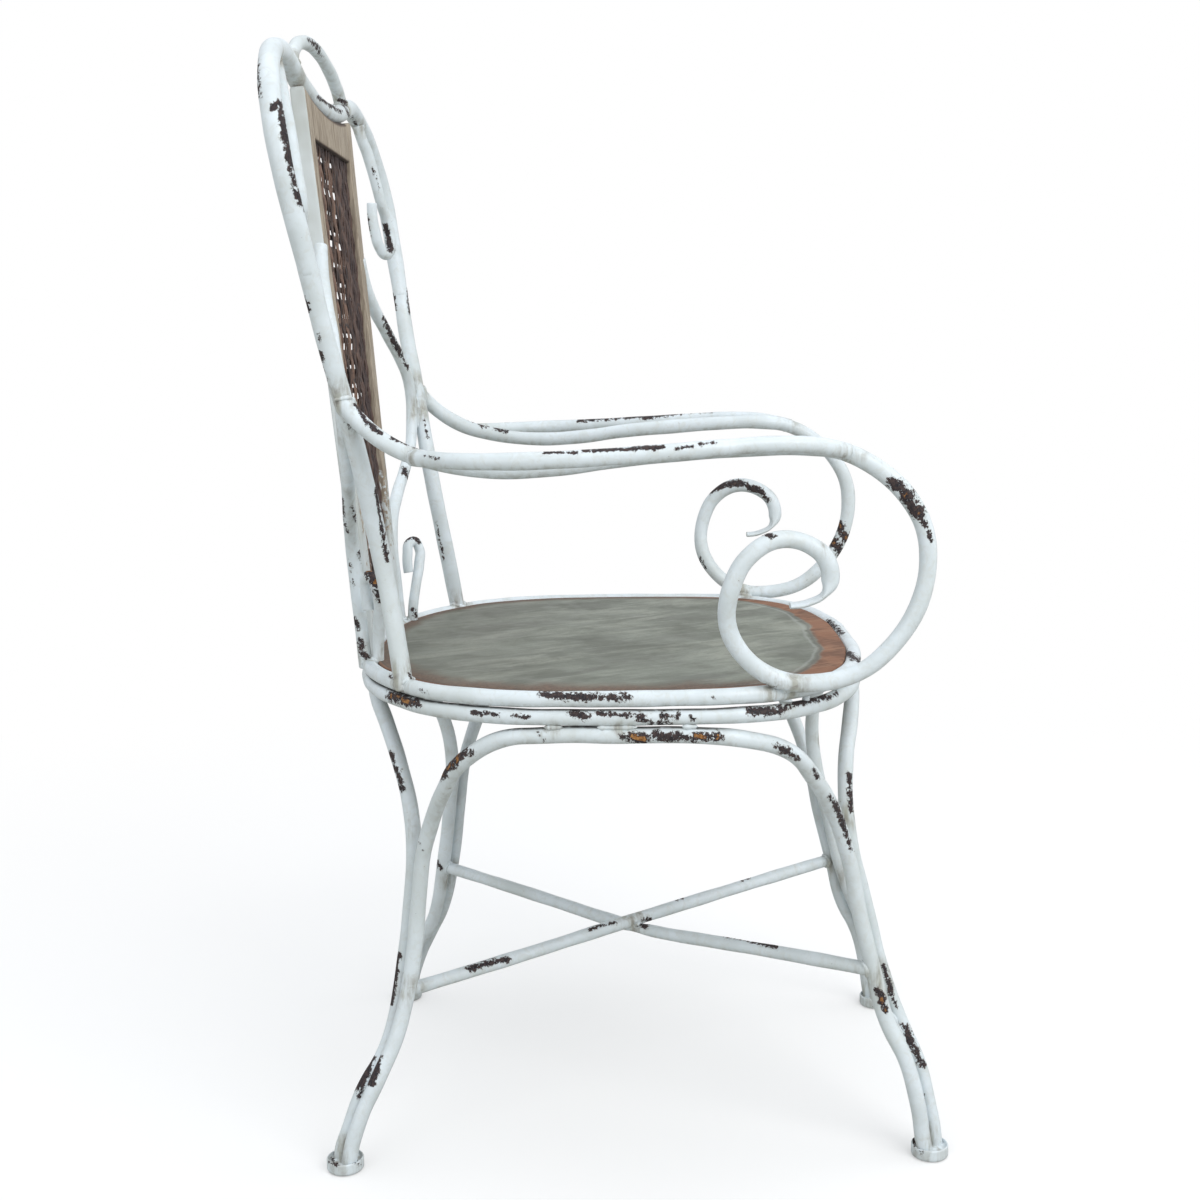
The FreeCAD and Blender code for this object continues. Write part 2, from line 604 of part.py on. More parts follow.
def flat_section(name, p, t):
    # lens of the flattened end: wide along the scroll axis, thin across
    el = doc.addObject("Part::Ellipse", name)
    bind(el, "MajorRadius", "Dimensions.strip_wide / 2")
    bind(el, "MinorRadius", "Dimensions.strip_thick / 2")
    z = t
    x = Vector(1, 0, 0) - z * z.x
    x = x.normalize()
    y = z.cross(x)
    m = FreeCAD.Matrix(x.x, y.x, z.x, p.x, x.y, y.y, z.y, p.y, x.z, y.z, z.z, p.z, 0, 0, 0, 1)
    el.Placement = Placement(m)
    return el


def round_section(name, p, t, alias):
    c = doc.addObject("Part::Circle", name)
    bind(c, "Radius", "Dimensions.%s / 2" % alias)
    z = t
    x = Vector(1, 0, 0) - z * z.x
    x = x.normalize()
    y = z.cross(x)
    m = FreeCAD.Matrix(x.x, y.x, z.x, p.x, x.y, y.y, z.y, p.y, x.z, y.z, z.z, p.z, 0, 0, 0, 1)
    c.Placement = Placement(m)
    return c


strip = doc.addObject("Part::Sweep", "strip_flat")
strip.Sections = [round_section("strip_start", _spts[0], _stg[0], "arm_tube_dia"),
                  flat_section("strip_mid", _spts[1], _stg[1]),
                  flat_section("strip_end", _spts[3], _stg[3])]
strip.Spine = (_sp, ["Edge%d" % (i + 1) for i in range(len(_sp.Shape.Edges))])
strip.Solid = True
strip.Frenet = False
doc.recompute()
print("strip", strip.State, strip.Shape.isValid(), round(strip.Shape.Volume))
arm1 = doc.addObject("Part::Fuse", "arm_with_end")
arm1.Base = arm0
arm1.Tool = strip
doc.recompute()
arm_l = part(cut(arm1, [upright_left, ring_up, ring_low], "arm_coped"), "arm_left")
arm_r = part(other_side(arm_l, "arm_mirror"), "arm_right")
rl0 = tube("rail", N_RAIL, "rail_tube_dia")
rail_l = part(cut(rl0, arm_l, "rail_coped"), "arm_rail_left")
rail_r = part(other_side(rail_l, "rail_mirror"), "arm_rail_right")

# --------------------------------------------------- tacks, spacers and bolts
TACKS = [(0, 239), (146, 218), (243, 130), (261, 30), (254, -90), (212, -164), (92, -207), (-92, -207), (-212, -164), (-254, -90), (-261, 30),
         (-243, 130), (-146, 218)]
shapes = []
for k, (x, y) in enumerate(TACKS):
    t = doc.addObject("Part::Cylinder", "tack_%02d" % (k + 1))
    bind(t, "Radius", "Dimensions.tack_dia / 2")
    bind(t, "Height", "Dimensions.tack_long")
    n = Vector(x, y - 14, 0).normalize()
    tang = Vector(-n.y, n.x, 0)
    base = Vector(x, y, 0) - n * (val("seat_inset") + 1.2) - tang * (val("tack_long") / 2)
    t.Placement = Placement(Vector(base.x, base.y, val("seat_high") - val("seat_lip_deep") - val("tack_dia") / 2), Rotation(Vector(0, 0, 1), tang))
    shapes.append(t)
tk = doc.addObject("Part::Compound", "tack_set")
tk.Links = shapes
doc.recompute()
part(cut(tk, [ring_up, seat], "tacks_fitted"), "seat_tacks")

SPACERS = [(226, -150), (0, -211)]
shapes = []
for k, (x, y) in enumerate(SPACERS):
    t = doc.addObject("Part::Cylinder", "spacer_%02d" % (k + 1))
    bind(t, "Radius", "Dimensions.spacer_dia / 2")
    t.Height = 14.0
    t.Placement = Placement(Vector(x, y, val("ring_high") - 15.4), Rotation())
    fitted = cut(t, [ring_up, ring_low], "spacer_%02d_fitted" % (k + 1))
    shapes.append(fitted)
    if x > 0:
        shapes.append(other_side(fitted, "spacer_%02d_twin" % (k + 1)))
spc = doc.addObject("Part::Compound", "spacer_set")
spc.Links = shapes
doc.recompute()
part(spc, "ring_spacers")


# ------------------------------------------------------------ checks and output
bad = []
for o in doc.Objects:
    if "Invalid" in o.State or "Error" in o.State:
        bad.append("%s %s" % (o.Name, o.State))
seen = set()
for o, label in PARTS:
    if o.Shape.isNull() or not o.Shape.isValid() or o.Shape.Volume <= 0:
        bad.append(label + " has no good shape")
    if label in seen:
        bad.append(label + " twice")
    seen.add(label)
if bad:
    raise RuntimeError("; ".join(bad))

os.makedirs("parts", exist_ok=True)
for f in os.listdir("parts"):
    if f.endswith(".step"):
        os.remove(os.path.join("parts", f))
for o, label in PARTS:
    o.Shape.exportStep(os.path.join("parts", label + ".step"))
    b = o.Shape.BoundBox
    print("%-22s solids %d  vol %8.0f  x %.0f..%.0f y %.0f..%.0f z %.0f..%.0f" % (
        label, len(o.Shape.Solids), o.Shape.Volume, b.XMin, b.XMax, b.YMin, b.YMax, b.ZMin, b.ZMax))
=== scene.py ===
import bpy
import bmesh
import math
import random
import numpy as np
from mathutils import Vector, Matrix


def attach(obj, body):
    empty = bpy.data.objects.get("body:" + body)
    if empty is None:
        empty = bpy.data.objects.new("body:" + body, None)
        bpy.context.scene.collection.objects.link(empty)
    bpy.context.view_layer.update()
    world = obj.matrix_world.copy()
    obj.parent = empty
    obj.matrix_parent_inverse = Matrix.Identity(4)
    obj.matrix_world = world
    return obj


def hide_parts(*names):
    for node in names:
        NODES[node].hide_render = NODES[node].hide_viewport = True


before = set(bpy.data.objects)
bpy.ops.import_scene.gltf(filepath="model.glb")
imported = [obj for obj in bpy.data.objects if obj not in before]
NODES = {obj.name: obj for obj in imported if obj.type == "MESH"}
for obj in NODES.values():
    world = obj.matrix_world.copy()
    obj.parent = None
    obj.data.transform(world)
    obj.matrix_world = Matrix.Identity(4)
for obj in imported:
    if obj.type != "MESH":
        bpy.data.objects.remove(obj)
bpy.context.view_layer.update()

# ------------------------------------------------------------------ camera
# metres; the middle plane of the chair is X = 0 and the near side is -X
CAM_POS = Vector((-1.5, -0.015, 0.71367))
FOCAL_PX = 1575.0
ROLL = math.radians(0.6)


def camera_axes():
    dx = Vector(((641.0 - 600.0) / FOCAL_PX, (357.0 - 600.0) / FOCAL_PX, 1.0)).normalized()
    y = Vector((0, -1, 0)).cross(dx).normalized()
    z = dx.cross(y)
    if z.y > 0:
        y = -y
        z = dx.cross(y)
    # columns: world axes in picture coordinates (right, down, forward)
    return Matrix(((dx.x, y.x, z.x), (dx.y, y.y, z.y), (dx.z, y.z, z.z)))


W2P = camera_axes()
P2W = W2P.transposed()


def pixel(p):
    q = W2P @ (Vector(p) - CAM_POS)
    u, v = FOCAL_PX * q.x / q.z, FOCAL_PX * q.y / q.z
    c, s = math.cos(ROLL), math.sin(ROLL)
    return 600 + u * c + v * s, 600 - u * s + v * c


W2P_N = np.array(W2P)
CAM_N = np.array(CAM_POS)


def pixels(co):
    q = (co - CAM_N) @ W2P_N.T
    u, v = FOCAL_PX * q[:, 0] / q[:, 2], FOCAL_PX * q[:, 1] / q[:, 2]
    c, s = math.cos(ROLL), math.sin(ROLL)
    return np.stack([600 + u * c + v * s, 600 - u * s + v * c], 1)


# ------------------------------------------------------------- routes (mm)
def V(*a):
    return Vector(a)


R = {}
R["ring"] = [(0, 239, 0), (80, 236, 0), (146, 218, 0), (194, 189, 0), (222, 165, 0), (243, 130, 0), (256, 90, 0), (261, 30, 0),
             (260, -35, 0), (254, -90, 0), (240, -131, 0), (212, -164, 0), (165, -190, 0), (92, -207, 0), (0, -211, 0)]
R["side_arch"] = [
    (172.2, -265.2, 4.5), (171.9, -263.6, 12), (171, -257.5, 50), (166.5, -247.5, 88), (157.5, -231, 123), (154.5, -216.5, 180), (157, -207, 218),
    (166, -194.5, 276), (181, -181, 318), (207, -163.5, 354), (236, -133, 392.5), (252, -96, 406), (258.5, -55, 411),
    (260, 0, 411.9), (257.5, 60, 411.8), (251.5, 101, 406.8), (237, 135, 384), (208, 155, 350), (182, 169, 316), (170, 178, 287),
    (161.5, 185.5, 238), (160.5, 191.5, 188), (164, 199.5, 145), (172.5, 208, 115), (186, 224, 80), (193, 239, 48), (195.8, 249.3, 12), (196.1, 250.2, 4.5)]
R["front_arch"] = [
    (162.2, -275.2, 4.5), (161.9, -274.6, 12), (158, -268.5, 48), (153.5, -259.5, 84), (145.5, -244.5, 119), (141.5, -231, 155), (140.5, -212, 230),
    (142, -199.5, 280), (138, -195, 322), (126, -196.5, 356), (102, -203, 384), (72, -208.5, 403), (36, -211, 410.6), (0, -211.5, 411.5)]
R["back_arch"] = [
    (184.7, 259.4, 4.5), (184.4, 258.4, 12), (181, 249, 40), (176.5, 239, 66), (164, 220.5, 98), (154, 211.5, 125), (147.5, 205, 159), (146, 194.5, 233),
    (146.5, 190, 285), (140, 194, 324), (126, 204, 357), (101, 218, 386), (72, 231, 405), (36, 237.5, 412.8), (0, 239.5, 414.3)]
R["brace_a"] = [(-151, 204.5, 149), (-75, 100, 153.7), (0, -3.5, 160), (77, -109, 165.2), (155, -216.5, 170)]
R["brace_b"] = [(149.5, 202, 167), (105, 141, 163.3), (55, 72, 158.3), (20, 23, 154.2), (0, -3.5, 153.4), (-20, -31, 154.2),
                (-55, -79, 158.6), (-106, -149, 165), (-155, -216.5, 170)]
R["upright"] = [
    (202.2, 185.4, 439.5), (197, 191.5, 482), (192, 200, 535), (193.5, 209, 587), (203, 217.5, 638), (217, 226, 685), (230, 236.5, 738),
    (244, 244.3, 788)]
R["crown"] = [
    (244, 244.3, 788), (255.5, 251, 828), (262, 255.5, 855), (263, 259.2, 879), (257.5, 263, 900), (246, 267.5, 922), (234.5, 270, 936),
    (219.5, 272.5, 948.3), (200, 275, 958.3), (178.7, 276.5, 964.2), (155, 277, 966.8), (128, 276.5, 961.8), (92, 276.5, 953), (50, 276.5, 946.8), (0, 276.5, 944.5)]
R["crest"] = [(115, 277, 956), (108, 278, 970), (88, 279, 982.5), (50, 280, 993.5), (0, 280.3, 998)]
R["scroll"] = [
    (188.5, 274.8, 954.5), (193.5, 271.5, 941.5), (201.5, 267.8, 929), (206.5, 264.6, 915), (211.5, 261.2, 898), (218, 257.5, 878.5),
    (227.5, 253.6, 860), (231.5, 250.5, 845), (226.5, 251, 830.5), (214.5, 255, 825.5), (205, 259.5, 834), (200, 262.5, 850), (197.5, 264, 864), (197, 264, 877)]
R["splat"] = [(0, 235.7, 438), (0, 240, 510), (0, 243.9, 560), (0, 251.2, 650), (0, 258.3, 740), (0, 264.9, 820),
              (0, 270.5, 890), (0, 276, 965)]
R["bracket"] = [
    (98, 262, 813), (108.5, 259.5, 791), (124, 254.5, 768), (151, 246, 742), (179, 238, 717), (194, 232, 696), (200, 229.5, 672), (194.5, 229, 645),
    (183, 230, 620), (161, 234, 597), (135, 238.5, 574), (114, 241, 549), (106.5, 240.5, 520), (106, 238, 487), (106, 234.5, 440)]
R["hook"] = [
    (111, 222.5, 441), (111.5, 221.5, 462), (118, 219, 482), (129, 216.5, 503), (137, 217, 517.5), (136.5, 221.5, 525.5), (130.5, 226.5, 524),
    (125.5, 228, 513), (122, 227, 495)]
R["arm"] = [
    (217, 227, 684), (223, 213.5, 667), (231, 182, 643.5), (236, 137, 630), (240, 92, 625.5), (239.5, 48, 627.5), (236, 0, 633.5),
    (235, -52, 637.5), (235, -104, 640.5), (236, -146, 641), (238.5, -178, 636.5), (240, -205, 622.5), (241, -228, 601),
    (242, -242.5, 573), (243, -245, 545), (244, -237.5, 512), (245, -219, 482.5), (247, -193, 460.5), (249, -160, 451.5), (250.5, -127, 454),
    (255, -99, 472.5), (261, -84, 500), (268, -86, 531), (269.5, -99.5, 556.5), (266, -122, 569.5), (262, -145, 566.5), (258.5, -162, 552.5),
    (256.5, -165.5, 535)]
R["strip"] = [(256.5, -165.5, 535), (255.5, -160.5, 524), (254.8, -149.5, 518), (254.5, -134, 515.5)]
R["rail"] = [
    (247.5, 165, 636.5), (269, 147, 636.3), (291, 122, 636), (304, 85, 636.3), (305.5, 45, 637.2), (301, 3, 639), (294.5, -38, 641),
    (285, -78, 643.5), (272, -117, 645), (257, -152, 643), (243, -180, 637)]
R = {k: [Vector(p) * 0.001 for p in v] for k, v in R.items()}


# ----------------------------------------------- tangent arcs through stations
def tangent3(a, b, c):
    u, v = b - a, c - b
    return (u * (v.length / u.length) + v * (u.length / v.length)).normalized()


def station_tangents(pts, closed, first=None, last=None):
    n = len(pts)
    out = []
    for i in range(n):
        if closed:
            out.append(tangent3(pts[i - 1], pts[i], pts[(i + 1) % n]))
        elif i in (0, n - 1):
            out.append(None)
        else:
            out.append(tangent3(pts[i - 1], pts[i], pts[i + 1]))
    if not closed:
        def mirrored(p, q, t):
            d = (q - p).normalized()
            return (d * (2 * d.dot(t)) - t).normalized()
        out[0] = first or mirrored(pts[0], pts[1], out[1])
        out[-1] = last or mirrored(pts[-2], pts[-1], out[-2])
    return out


def arc_points(p, t, q, step):
    d = q - p
    side = d - t * d.dot(t)
    if side.length < 1e-4 * d.length:
        n = max(1, int(math.ceil(d.length / step)))
        return [p + d * ((k + 1) / n) for k in range(n)]
    side.normalize()
    dt, dn = d.dot(t), d.dot(side)
    r = d.length_squared / (2 * dn)
    c = p + side * r
    ang = 2 * math.atan2(dn, dt)
    n = max(1, int(math.ceil(r * ang / step)))
    return [c - side * (r * math.cos(ang * (k + 1) / n)) + t * (r * math.sin(ang * (k + 1) / n)) for k in range(n)]


def two_arcs(p, tp, q, tq, step):
    v = q - p
    a = 2 * (1 - tp.dot(tq))
    b = 2 * v.dot(tp + tq)
    c = -v.dot(v)
    d = -c / b if a < 1e-9 else (-b + math.sqrt(max(b * b - 4 * a * c, 0.0))) / (2 * a)
    j = (p + tp * d + q - tq * d) * 0.5
    g = ((q - tq * d) - (p + tp * d)).normalized()
    return arc_points(p, tp, j, step) + arc_points(j, g, q, step)


def route(pts, closed=False, mirror_half=False, first=None, last=None, step=0.0022):
    pts = [p.copy() for p in pts]
    if mirror_half:
        pts = pts + [Vector((-p.x, p.y, p.z)) for p in reversed(pts[:-1])]
    tg = station_tangents(pts, closed, first, last)
    out = [pts[0]]
    n = len(pts)
    for i in range(n if closed else n - 1):
        k = (i + 1) % n
        out += two_arcs(pts[i], tg[i], pts[k], tg[k], step)
    return out[:-1] if closed else out


def flip(pts):
    return [Vector((-p.x, p.y, p.z)) for p in pts]


# ------------------------------------------------------- wear seen on the chair
# strokes in picture pixels: u0, v0, u1, v1, half width, strength, rusty core
NEAR_WEAR = {
    "back_crown": [(257, 60, 259, 98, 3, .46, 0), (274, 107, 279, 103, 4, .62, 0), (279, 104, 283, 115, 3.2, .58, 0), (281, 115, 286, 140, 4.4, .66, 0), (286, 140, 291, 170, 3.8, .62, 0),
                   (290, 168, 296, 190, 3.2, .57, 0), (296, 190, 301, 204, 3.8, .62, 0), (301, 204, 307, 215, 1.8, .55, 0), (388, 224, 391, 250, 4, .6, 0),
                   (300, 40, 318, 60, 2.2, .40, 0), (318, 97, 341, 112, 2.4, .5, 0), (344, 104, 349, 116, 2.6, .42, 0), (352, 116, 368, 152, 2, .38, 0)],
    "crest_arch": [(309, 40, 318, 47, 3, .45, 0), (338, 100, 346, 102, 2.4, .5, 0), (316, 47, 322, 56, 2.5, .4, 0)],
    "upright_right": [(304, 298, 309, 311, 3.2, .58, 0), (321, 352, 324, 383, 2.6, .5, 0), (318, 334, 320, 342, 2.2, .4, 0), (376, 488, 380, 520, 2.0, .56, 0),
                      (380, 520, 387, 560, 2.8, .58, 0), (344, 420, 352, 432, 2, .42, 0), (409, 672, 414, 684, 2.2, .42, 0)],
    "upright_left": [(393, 277, 395, 310, 2.2, .5, 0), (407, 273, 410, 312, 2.4, .55, 0), (424, 420, 428, 438, 1.8, .4, 0), (436, 520, 444, 560, 1.6, .38, 0)],
    "back_scroll_left": [(385, 226, 391, 250, 3.2, .62, 0), (366, 214, 369, 236, 2, .5, 0), (372, 168, 380, 190, 2, .4, 0)],
    "back_bracket_left": [(384, 318, 392, 338, 3, .56, 0), (392, 338, 400, 352, 3.4, .58, 0), (400, 352, 407, 368, 2.4, .5, 0), (404, 470, 408, 476, 3.5, .55, 0),
                          (378, 290, 384, 312, 1.8, .4, 0)],
    "back_bracket_right": [(360, 552, 366, 566, 3.4, .62, .5), (366, 566, 371, 580, 3.0, .58, .5), (333, 452, 334, 458, 3, .58, 0), (335, 466, 337, 475, 3, .56, 0), (341, 500, 343, 520, 3, .52, 0), (345, 524, 347, 532, 2.4, .45, 0),
                           (352, 508, 355, 520, 2.4, .45, 0), (354, 620, 358, 627, 3.4, .55, 0), (359, 640, 366, 658, 4, .55, .3), (350, 560, 354, 590, 2, .4, 0)],
    "seat_hook_left": [(405, 538, 412, 534, 3.6, .58, 0), (412, 534, 419, 542, 3.2, .52, 0), (413, 611, 417, 616, 3.5, .5, 0)],
    "seat_hook_right": [(362, 556, 370, 572, 5.0, .70, .75), (368, 570, 376, 584, 5.0, .68, .7), (374, 584, 381, 600, 3.8, .60, .4)],
    "arm_right": [(356, 405, 368, 424, 2.6, .58, 0), (368, 424, 381, 434, 2.8, .55, 0), (392, 438, 418, 446, 2.4, .58, 0), (893, 483, 908, 494, 6.5, .64, .25),
                  (905, 494, 918, 512, 7, .66, .55), (918, 512, 926, 524, 4.4, .5, .2), (928, 530, 931, 541, 2.4, .5, 0), (764, 534, 778, 537, 2.6, .56, 0),
                  (796, 434, 826, 437, 2.6, .56, 0), (750, 434, 776, 433, 2, .5, 0), (832, 440, 842, 446, 2, .42, 0), (745, 681, 775, 688, 2, .42, 0)],
    "arm_rail_right": [(545, 452, 577, 453, 1.7, .60, 0), (584, 451, 628, 449, 1.9, .64, 0), (628, 449, 664, 447, 2.4, .66, 0), (676, 449, 692, 446, 1.9, .58, 0),
                       (700, 444, 716, 442, 2, .42, 0), (760, 434, 790, 433, 2, .5, 0), (425, 456, 440, 459, 2, .4, 0)],
    "arm_left": [(455, 410, 470, 418, 3, .58, 0), (470, 418, 486, 426, 3, .55, 0), (495, 428, 507, 431, 2.6, .52, 0), (840, 524, 846, 538, 5, .62, .5),
                 (832, 540, 842, 556, 5, .62, .55), (826, 556, 834, 566, 4, .52, .2), (710, 492, 722, 485, 3.4, .58, 0), (722, 485, 742, 483, 3.4, .64, .3),
                 (742, 484, 762, 492, 3.4, .6, 0), (762, 492, 768, 500, 2.6, .5, 0), (700, 558, 706, 570, 2.2, .4, 0), (828, 480, 836, 500, 2, .42, 0)],
    "arm_rail_left": [(579, 420, 612, 418, 2.6, .58, 0), (612, 418, 645, 416, 2.4, .5, 0), (646, 417, 684, 411, 3, .6, 0), (684, 411, 716, 409, 2.8, .55, 0)],
    "seat_ring_upper": [(541, 694, 575, 697, 4, .62, .2), (575, 697, 628, 697, 4, .60, .2), (712, 697, 716, 700, 2, .42, 0), (829, 622, 841, 633, 3.6, .5, 0),
                        (848, 654, 860, 662, 4, .56, 0), (420, 690, 428, 693, 2, .4, 0), (390, 676, 400, 684, 2, .42, 0)],
    "seat_ring_lower": [(392, 696, 414, 703, 5.4, .62, .8), (472, 712, 499, 715, 2.6, .56, 0), (511, 716, 531, 717, 2.4, .48, 0), (572, 713, 586, 717, 5, .58, 0),
                        (598, 713, 628, 716, 3.2, .54, 0), (636, 717, 652, 722, 5, .5, 0), (652, 722, 668, 724, 4, .48, 0), (662, 715, 680, 716, 4, .5, 0),
                        (751, 711, 779, 712, 5, .62, 0), (779, 709, 800, 702, 4.6, .56, 0), (800, 702, 824, 697, 4.2, .55, 0), (690, 716, 694, 720, 2.4, .45, 0),
                        (826, 700, 836, 694, 3, .5, 0)],
    "leg_arch_right": [(464, 752, 454, 762, 6, .60, .85), (454, 762, 441, 776, 5.6, .60, .6), (470, 750, 474, 754, 3, .5, 0), (622, 737, 630, 740, 4, .56, 0),
                       (632, 736, 644, 739, 5.4, .58, .95), (655, 735, 676, 738, 5.4, .60, .2), (676, 735, 694, 740, 4.4, .58, 0), (696, 736, 718, 737, 5.6, .60, .95),
                       (775, 746, 788, 752, 4.4, .54, .3), (788, 752, 800, 760, 3.6, .5, 0), (814, 770, 817, 778, 3, .52, 0), (829, 796, 836, 806, 2.6, .5, 0),
                       (836, 806, 846, 834, 3.6, .56, 0), (846, 834, 851, 850, 3, .5, 0), (398, 958, 400, 972, 2.6, .62, 0), (377, 1064, 371, 1084, 3.8, .76, .3), (382, 1056, 379, 1061, 2, .55, 0),
                       (877, 991, 883, 1000, 3.6, .70, .2), (881, 998, 886, 1010, 3.4, .66, .7), (538, 733, 543, 740, 2.4, .45, 0), (420, 842, 423, 850, 2, .38, 0)],
    "leg_arch_front": [(849, 774, 851, 812, 3, .54, 0), (884, 966, 891, 990, 3.0, .60, 0), (890, 990, 897, 1008, 2.6, .48, 0), (904, 1028, 912, 1044, 4.4, .6, 0),
                       (912, 1044, 922, 1064, 4.2, .58, 0), (868, 862, 870, 886, 2, .42, 0), (923, 1095, 925, 1112, 2, .4, .3)],
    "leg_arch_back": [(391, 754, 396, 768, 3, .54, 0), (396, 768, 402, 790, 3.6, .58, 0), (397, 956, 394, 975, 4, .68, 0), (394, 975, 390, 1002, 4, .68, .2),
                      (371, 1058, 365, 1072, 4.6, .78, .1), (365, 1072, 359, 1086, 5, .80, .3), (361, 1090, 359, 1097, 2.6, .6, 0), (437, 862, 441, 868, 3, .5, 0)],
    "brace_upper": [(469, 969, 484, 964, 3.6, .56, 0), (484, 964, 508, 959, 3.2, .56, 0), (589, 930, 606, 925, 2, .5, 0), (606, 925, 615, 922, 2.2, .42, 0),
                    (644, 920, 650, 919, 3, .52, .4), (676, 900, 682, 898, 2, .45, 0), (742, 880, 750, 877, 1.8, .42, 0)],
    "brace_lower": [(529, 883, 552, 889, 2.4, .56, 0), (552, 889, 572, 896, 3, .58, 0), (576, 897, 586, 900, 2, .45, 0), (722, 935, 748, 940, 2.6, .56, 0),
                    (748, 940, 776, 946, 2.8, .56, 0), (637, 922, 646, 926, 3, .5, .3)],
    "foot_back_right": [(331, 1160, 336, 1166, 3, .5, .3), (352, 1160, 358, 1164, 3, .5, .2)],
    "foot_front_right": [(914, 1140, 922, 1150, 4, .5, .5), (932, 1138, 940, 1142, 3, .45, .3)],
}


def smooth(a, b, x):
    t = np.clip((x - a) / (b - a), 0, 1)
    return t * t * (3 - 2 * t)


def picture_wear(name, co, no):
    """wear and rusty core at each vertex from the strokes that face the camera"""
    wear = np.zeros(len(co))
    core = np.zeros(len(co))
    strokes = NEAR_WEAR.get(name)
    if not strokes:
        return wear, core
    px = pixels(co)
    view = CAM_N - co
    view /= np.linalg.norm(view, axis=1)[:, None]
    facing = smooth(-0.12, 0.10, (no * view).sum(1))
    for u0, v0, u1, v1, w, s, k in strokes:
        a, b = np.array([u0, v0], float), np.array([u1, v1], float)
        d = b - a
        t = np.clip(((px - a) @ d) / max(d @ d, 1e-9), 0, 1)
        dist = np.linalg.norm(px - a - t[:, None] * d, axis=1)
        f = np.clip(1 - dist / (w * 1.75), 0, 1) ** 0.8 * (s + 0.06) * facing
        wear = np.maximum(wear, f)
        core = np.maximum(core, (1 - smooth(w * 0.1, w * 0.8, dist)) * k * facing)
    return wear, core


def hidden_wear(seed, co, no, density=1.0):
    """scattered wear on the faces that the photograph doesn't show"""
    rng = np.random.default_rng(seed)
    view = CAM_N - co
    view /= np.linalg.norm(view, axis=1)[:, None]
    away = smooth(0.05, -0.25, (no * view).sum(1))
    wear = np.zeros(len(co))
    core = np.zeros(len(co))
    if len(co) < 50:
        return wear, core
    lo, hi = co.min(0), co.max(0)
    size = float(np.linalg.norm(hi - lo))
    n = int(max(2, size * 26 * density))
    for k in rng.integers(0, len(co), n):
        r = rng.uniform(0.003, 0.0095)
        stretch = rng.uniform(1.0, 3.2)
        d = co - co[k]
        # stretched along the local run of the member, taken from close vertices
        near = d[np.linalg.norm(d, axis=1) < 0.03]
        if len(near) < 8:
            continue
        axis = np.linalg.svd(near - near.mean(0), full_matrices=False)[2][0]
        along = d @ axis
        dist = np.sqrt(np.maximum((d * d).sum(1) - along ** 2, 0) + (along / stretch) ** 2)
        s = rng.uniform(.42, .62)
        wear = np.maximum(wear, np.clip(1 - dist / (r * 2.0), 0, 1) * (s + 0.08) * away)
        if rng.random() < 0.25:
            core = np.maximum(core, (1 - smooth(0, r * 0.8, dist)) * rng.uniform(.4, .95) * away)
    return wear, core


# ----------------------------------------------------------------- materials
def new_mat(name):
    m = bpy.data.materials.new(name)
    m.use_nodes = True
    nt = m.node_tree
    for n in list(nt.nodes):
        if n.type != "OUTPUT_MATERIAL":
            nt.nodes.remove(n)
    return m, nt


class Net:
    def __init__(self, nt):
        self.nt = nt

    def n(self, kind, **kw):
        node = self.nt.nodes.new(kind)
        for k, v in kw.items():
            if k.startswith("_"):
                node.inputs[k[1:].replace("_", " ")].default_value = v
            else:
                setattr(node, k, v)
        return node

    def link(self, a, b):
        self.nt.links.new(a, b)

    def put(self, sock, value):
        if isinstance(value, (int, float, tuple, list)):
            if hasattr(sock, "default_value"):
                if isinstance(value, (tuple, list)) and len(value) == 3 and sock.type == "RGBA":
                    value = (*value, 1.0)
                sock.default_value = value
        else:
            self.link(value, sock)

    def math(self, op, a, b=None, clamp=False):
        m = self.n("ShaderNodeMath", operation=op, use_clamp=clamp)
        self.put(m.inputs[0], a)
        if b is not None:
            self.put(m.inputs[1], b)
        return m.outputs[0]

    def ramp(self, x, lo, hi, a=0.0, b=1.0, kind="SMOOTHSTEP"):
        m = self.n("ShaderNodeMapRange", interpolation_type=kind)
        self.put(m.inputs["Value"], x)
        m.inputs["From Min"].default_value = lo
        m.inputs["From Max"].default_value = hi
        m.inputs["To Min"].default_value = a
        m.inputs["To Max"].default_value = b
        return m.outputs["Result"]

    def noise(self, vec, scale, detail=3.0, rough=0.5, distort=0.0):
        t = self.n("ShaderNodeTexNoise")
        t.inputs["Scale"].default_value = scale
        t.inputs["Detail"].default_value = detail
        t.inputs["Roughness"].default_value = rough
        t.inputs["Distortion"].default_value = distort
        self.link(vec, t.inputs["Vector"])
        return t.outputs[0]

    def mapping(self, vec, scale=(1, 1, 1), rot=(0, 0, 0), loc=(0, 0, 0)):
        t = self.n("ShaderNodeMapping")
        t.inputs["Scale"].default_value = scale
        t.inputs["Rotation"].default_value = rot
        t.inputs["Location"].default_value = loc
        self.link(vec, t.inputs["Vector"])
        return t.outputs[0]

    def mix(self, f, a, b, blend="MIX"):
        t = self.n("ShaderNodeMix", data_type="RGBA", blend_type=blend)
        self.put(t.inputs[0], f)
        self.put(t.inputs[6], a)
        self.put(t.inputs[7], b)
        return t.outputs[2]

    def attr(self, name):
        t = self.n("ShaderNodeAttribute", attribute_name=name)
        return t.outputs["Fac"]

    def bump(self, height, strength, distance, normal=None):
        t = self.n("ShaderNodeBump")
        t.inputs["Strength"].default_value = strength
        t.inputs["Distance"].default_value = distance
        self.link(height, t.inputs["Height"])
        if normal is not None:
            self.link(normal, t.inputs["Normal"])
        return t.outputs["Normal"]


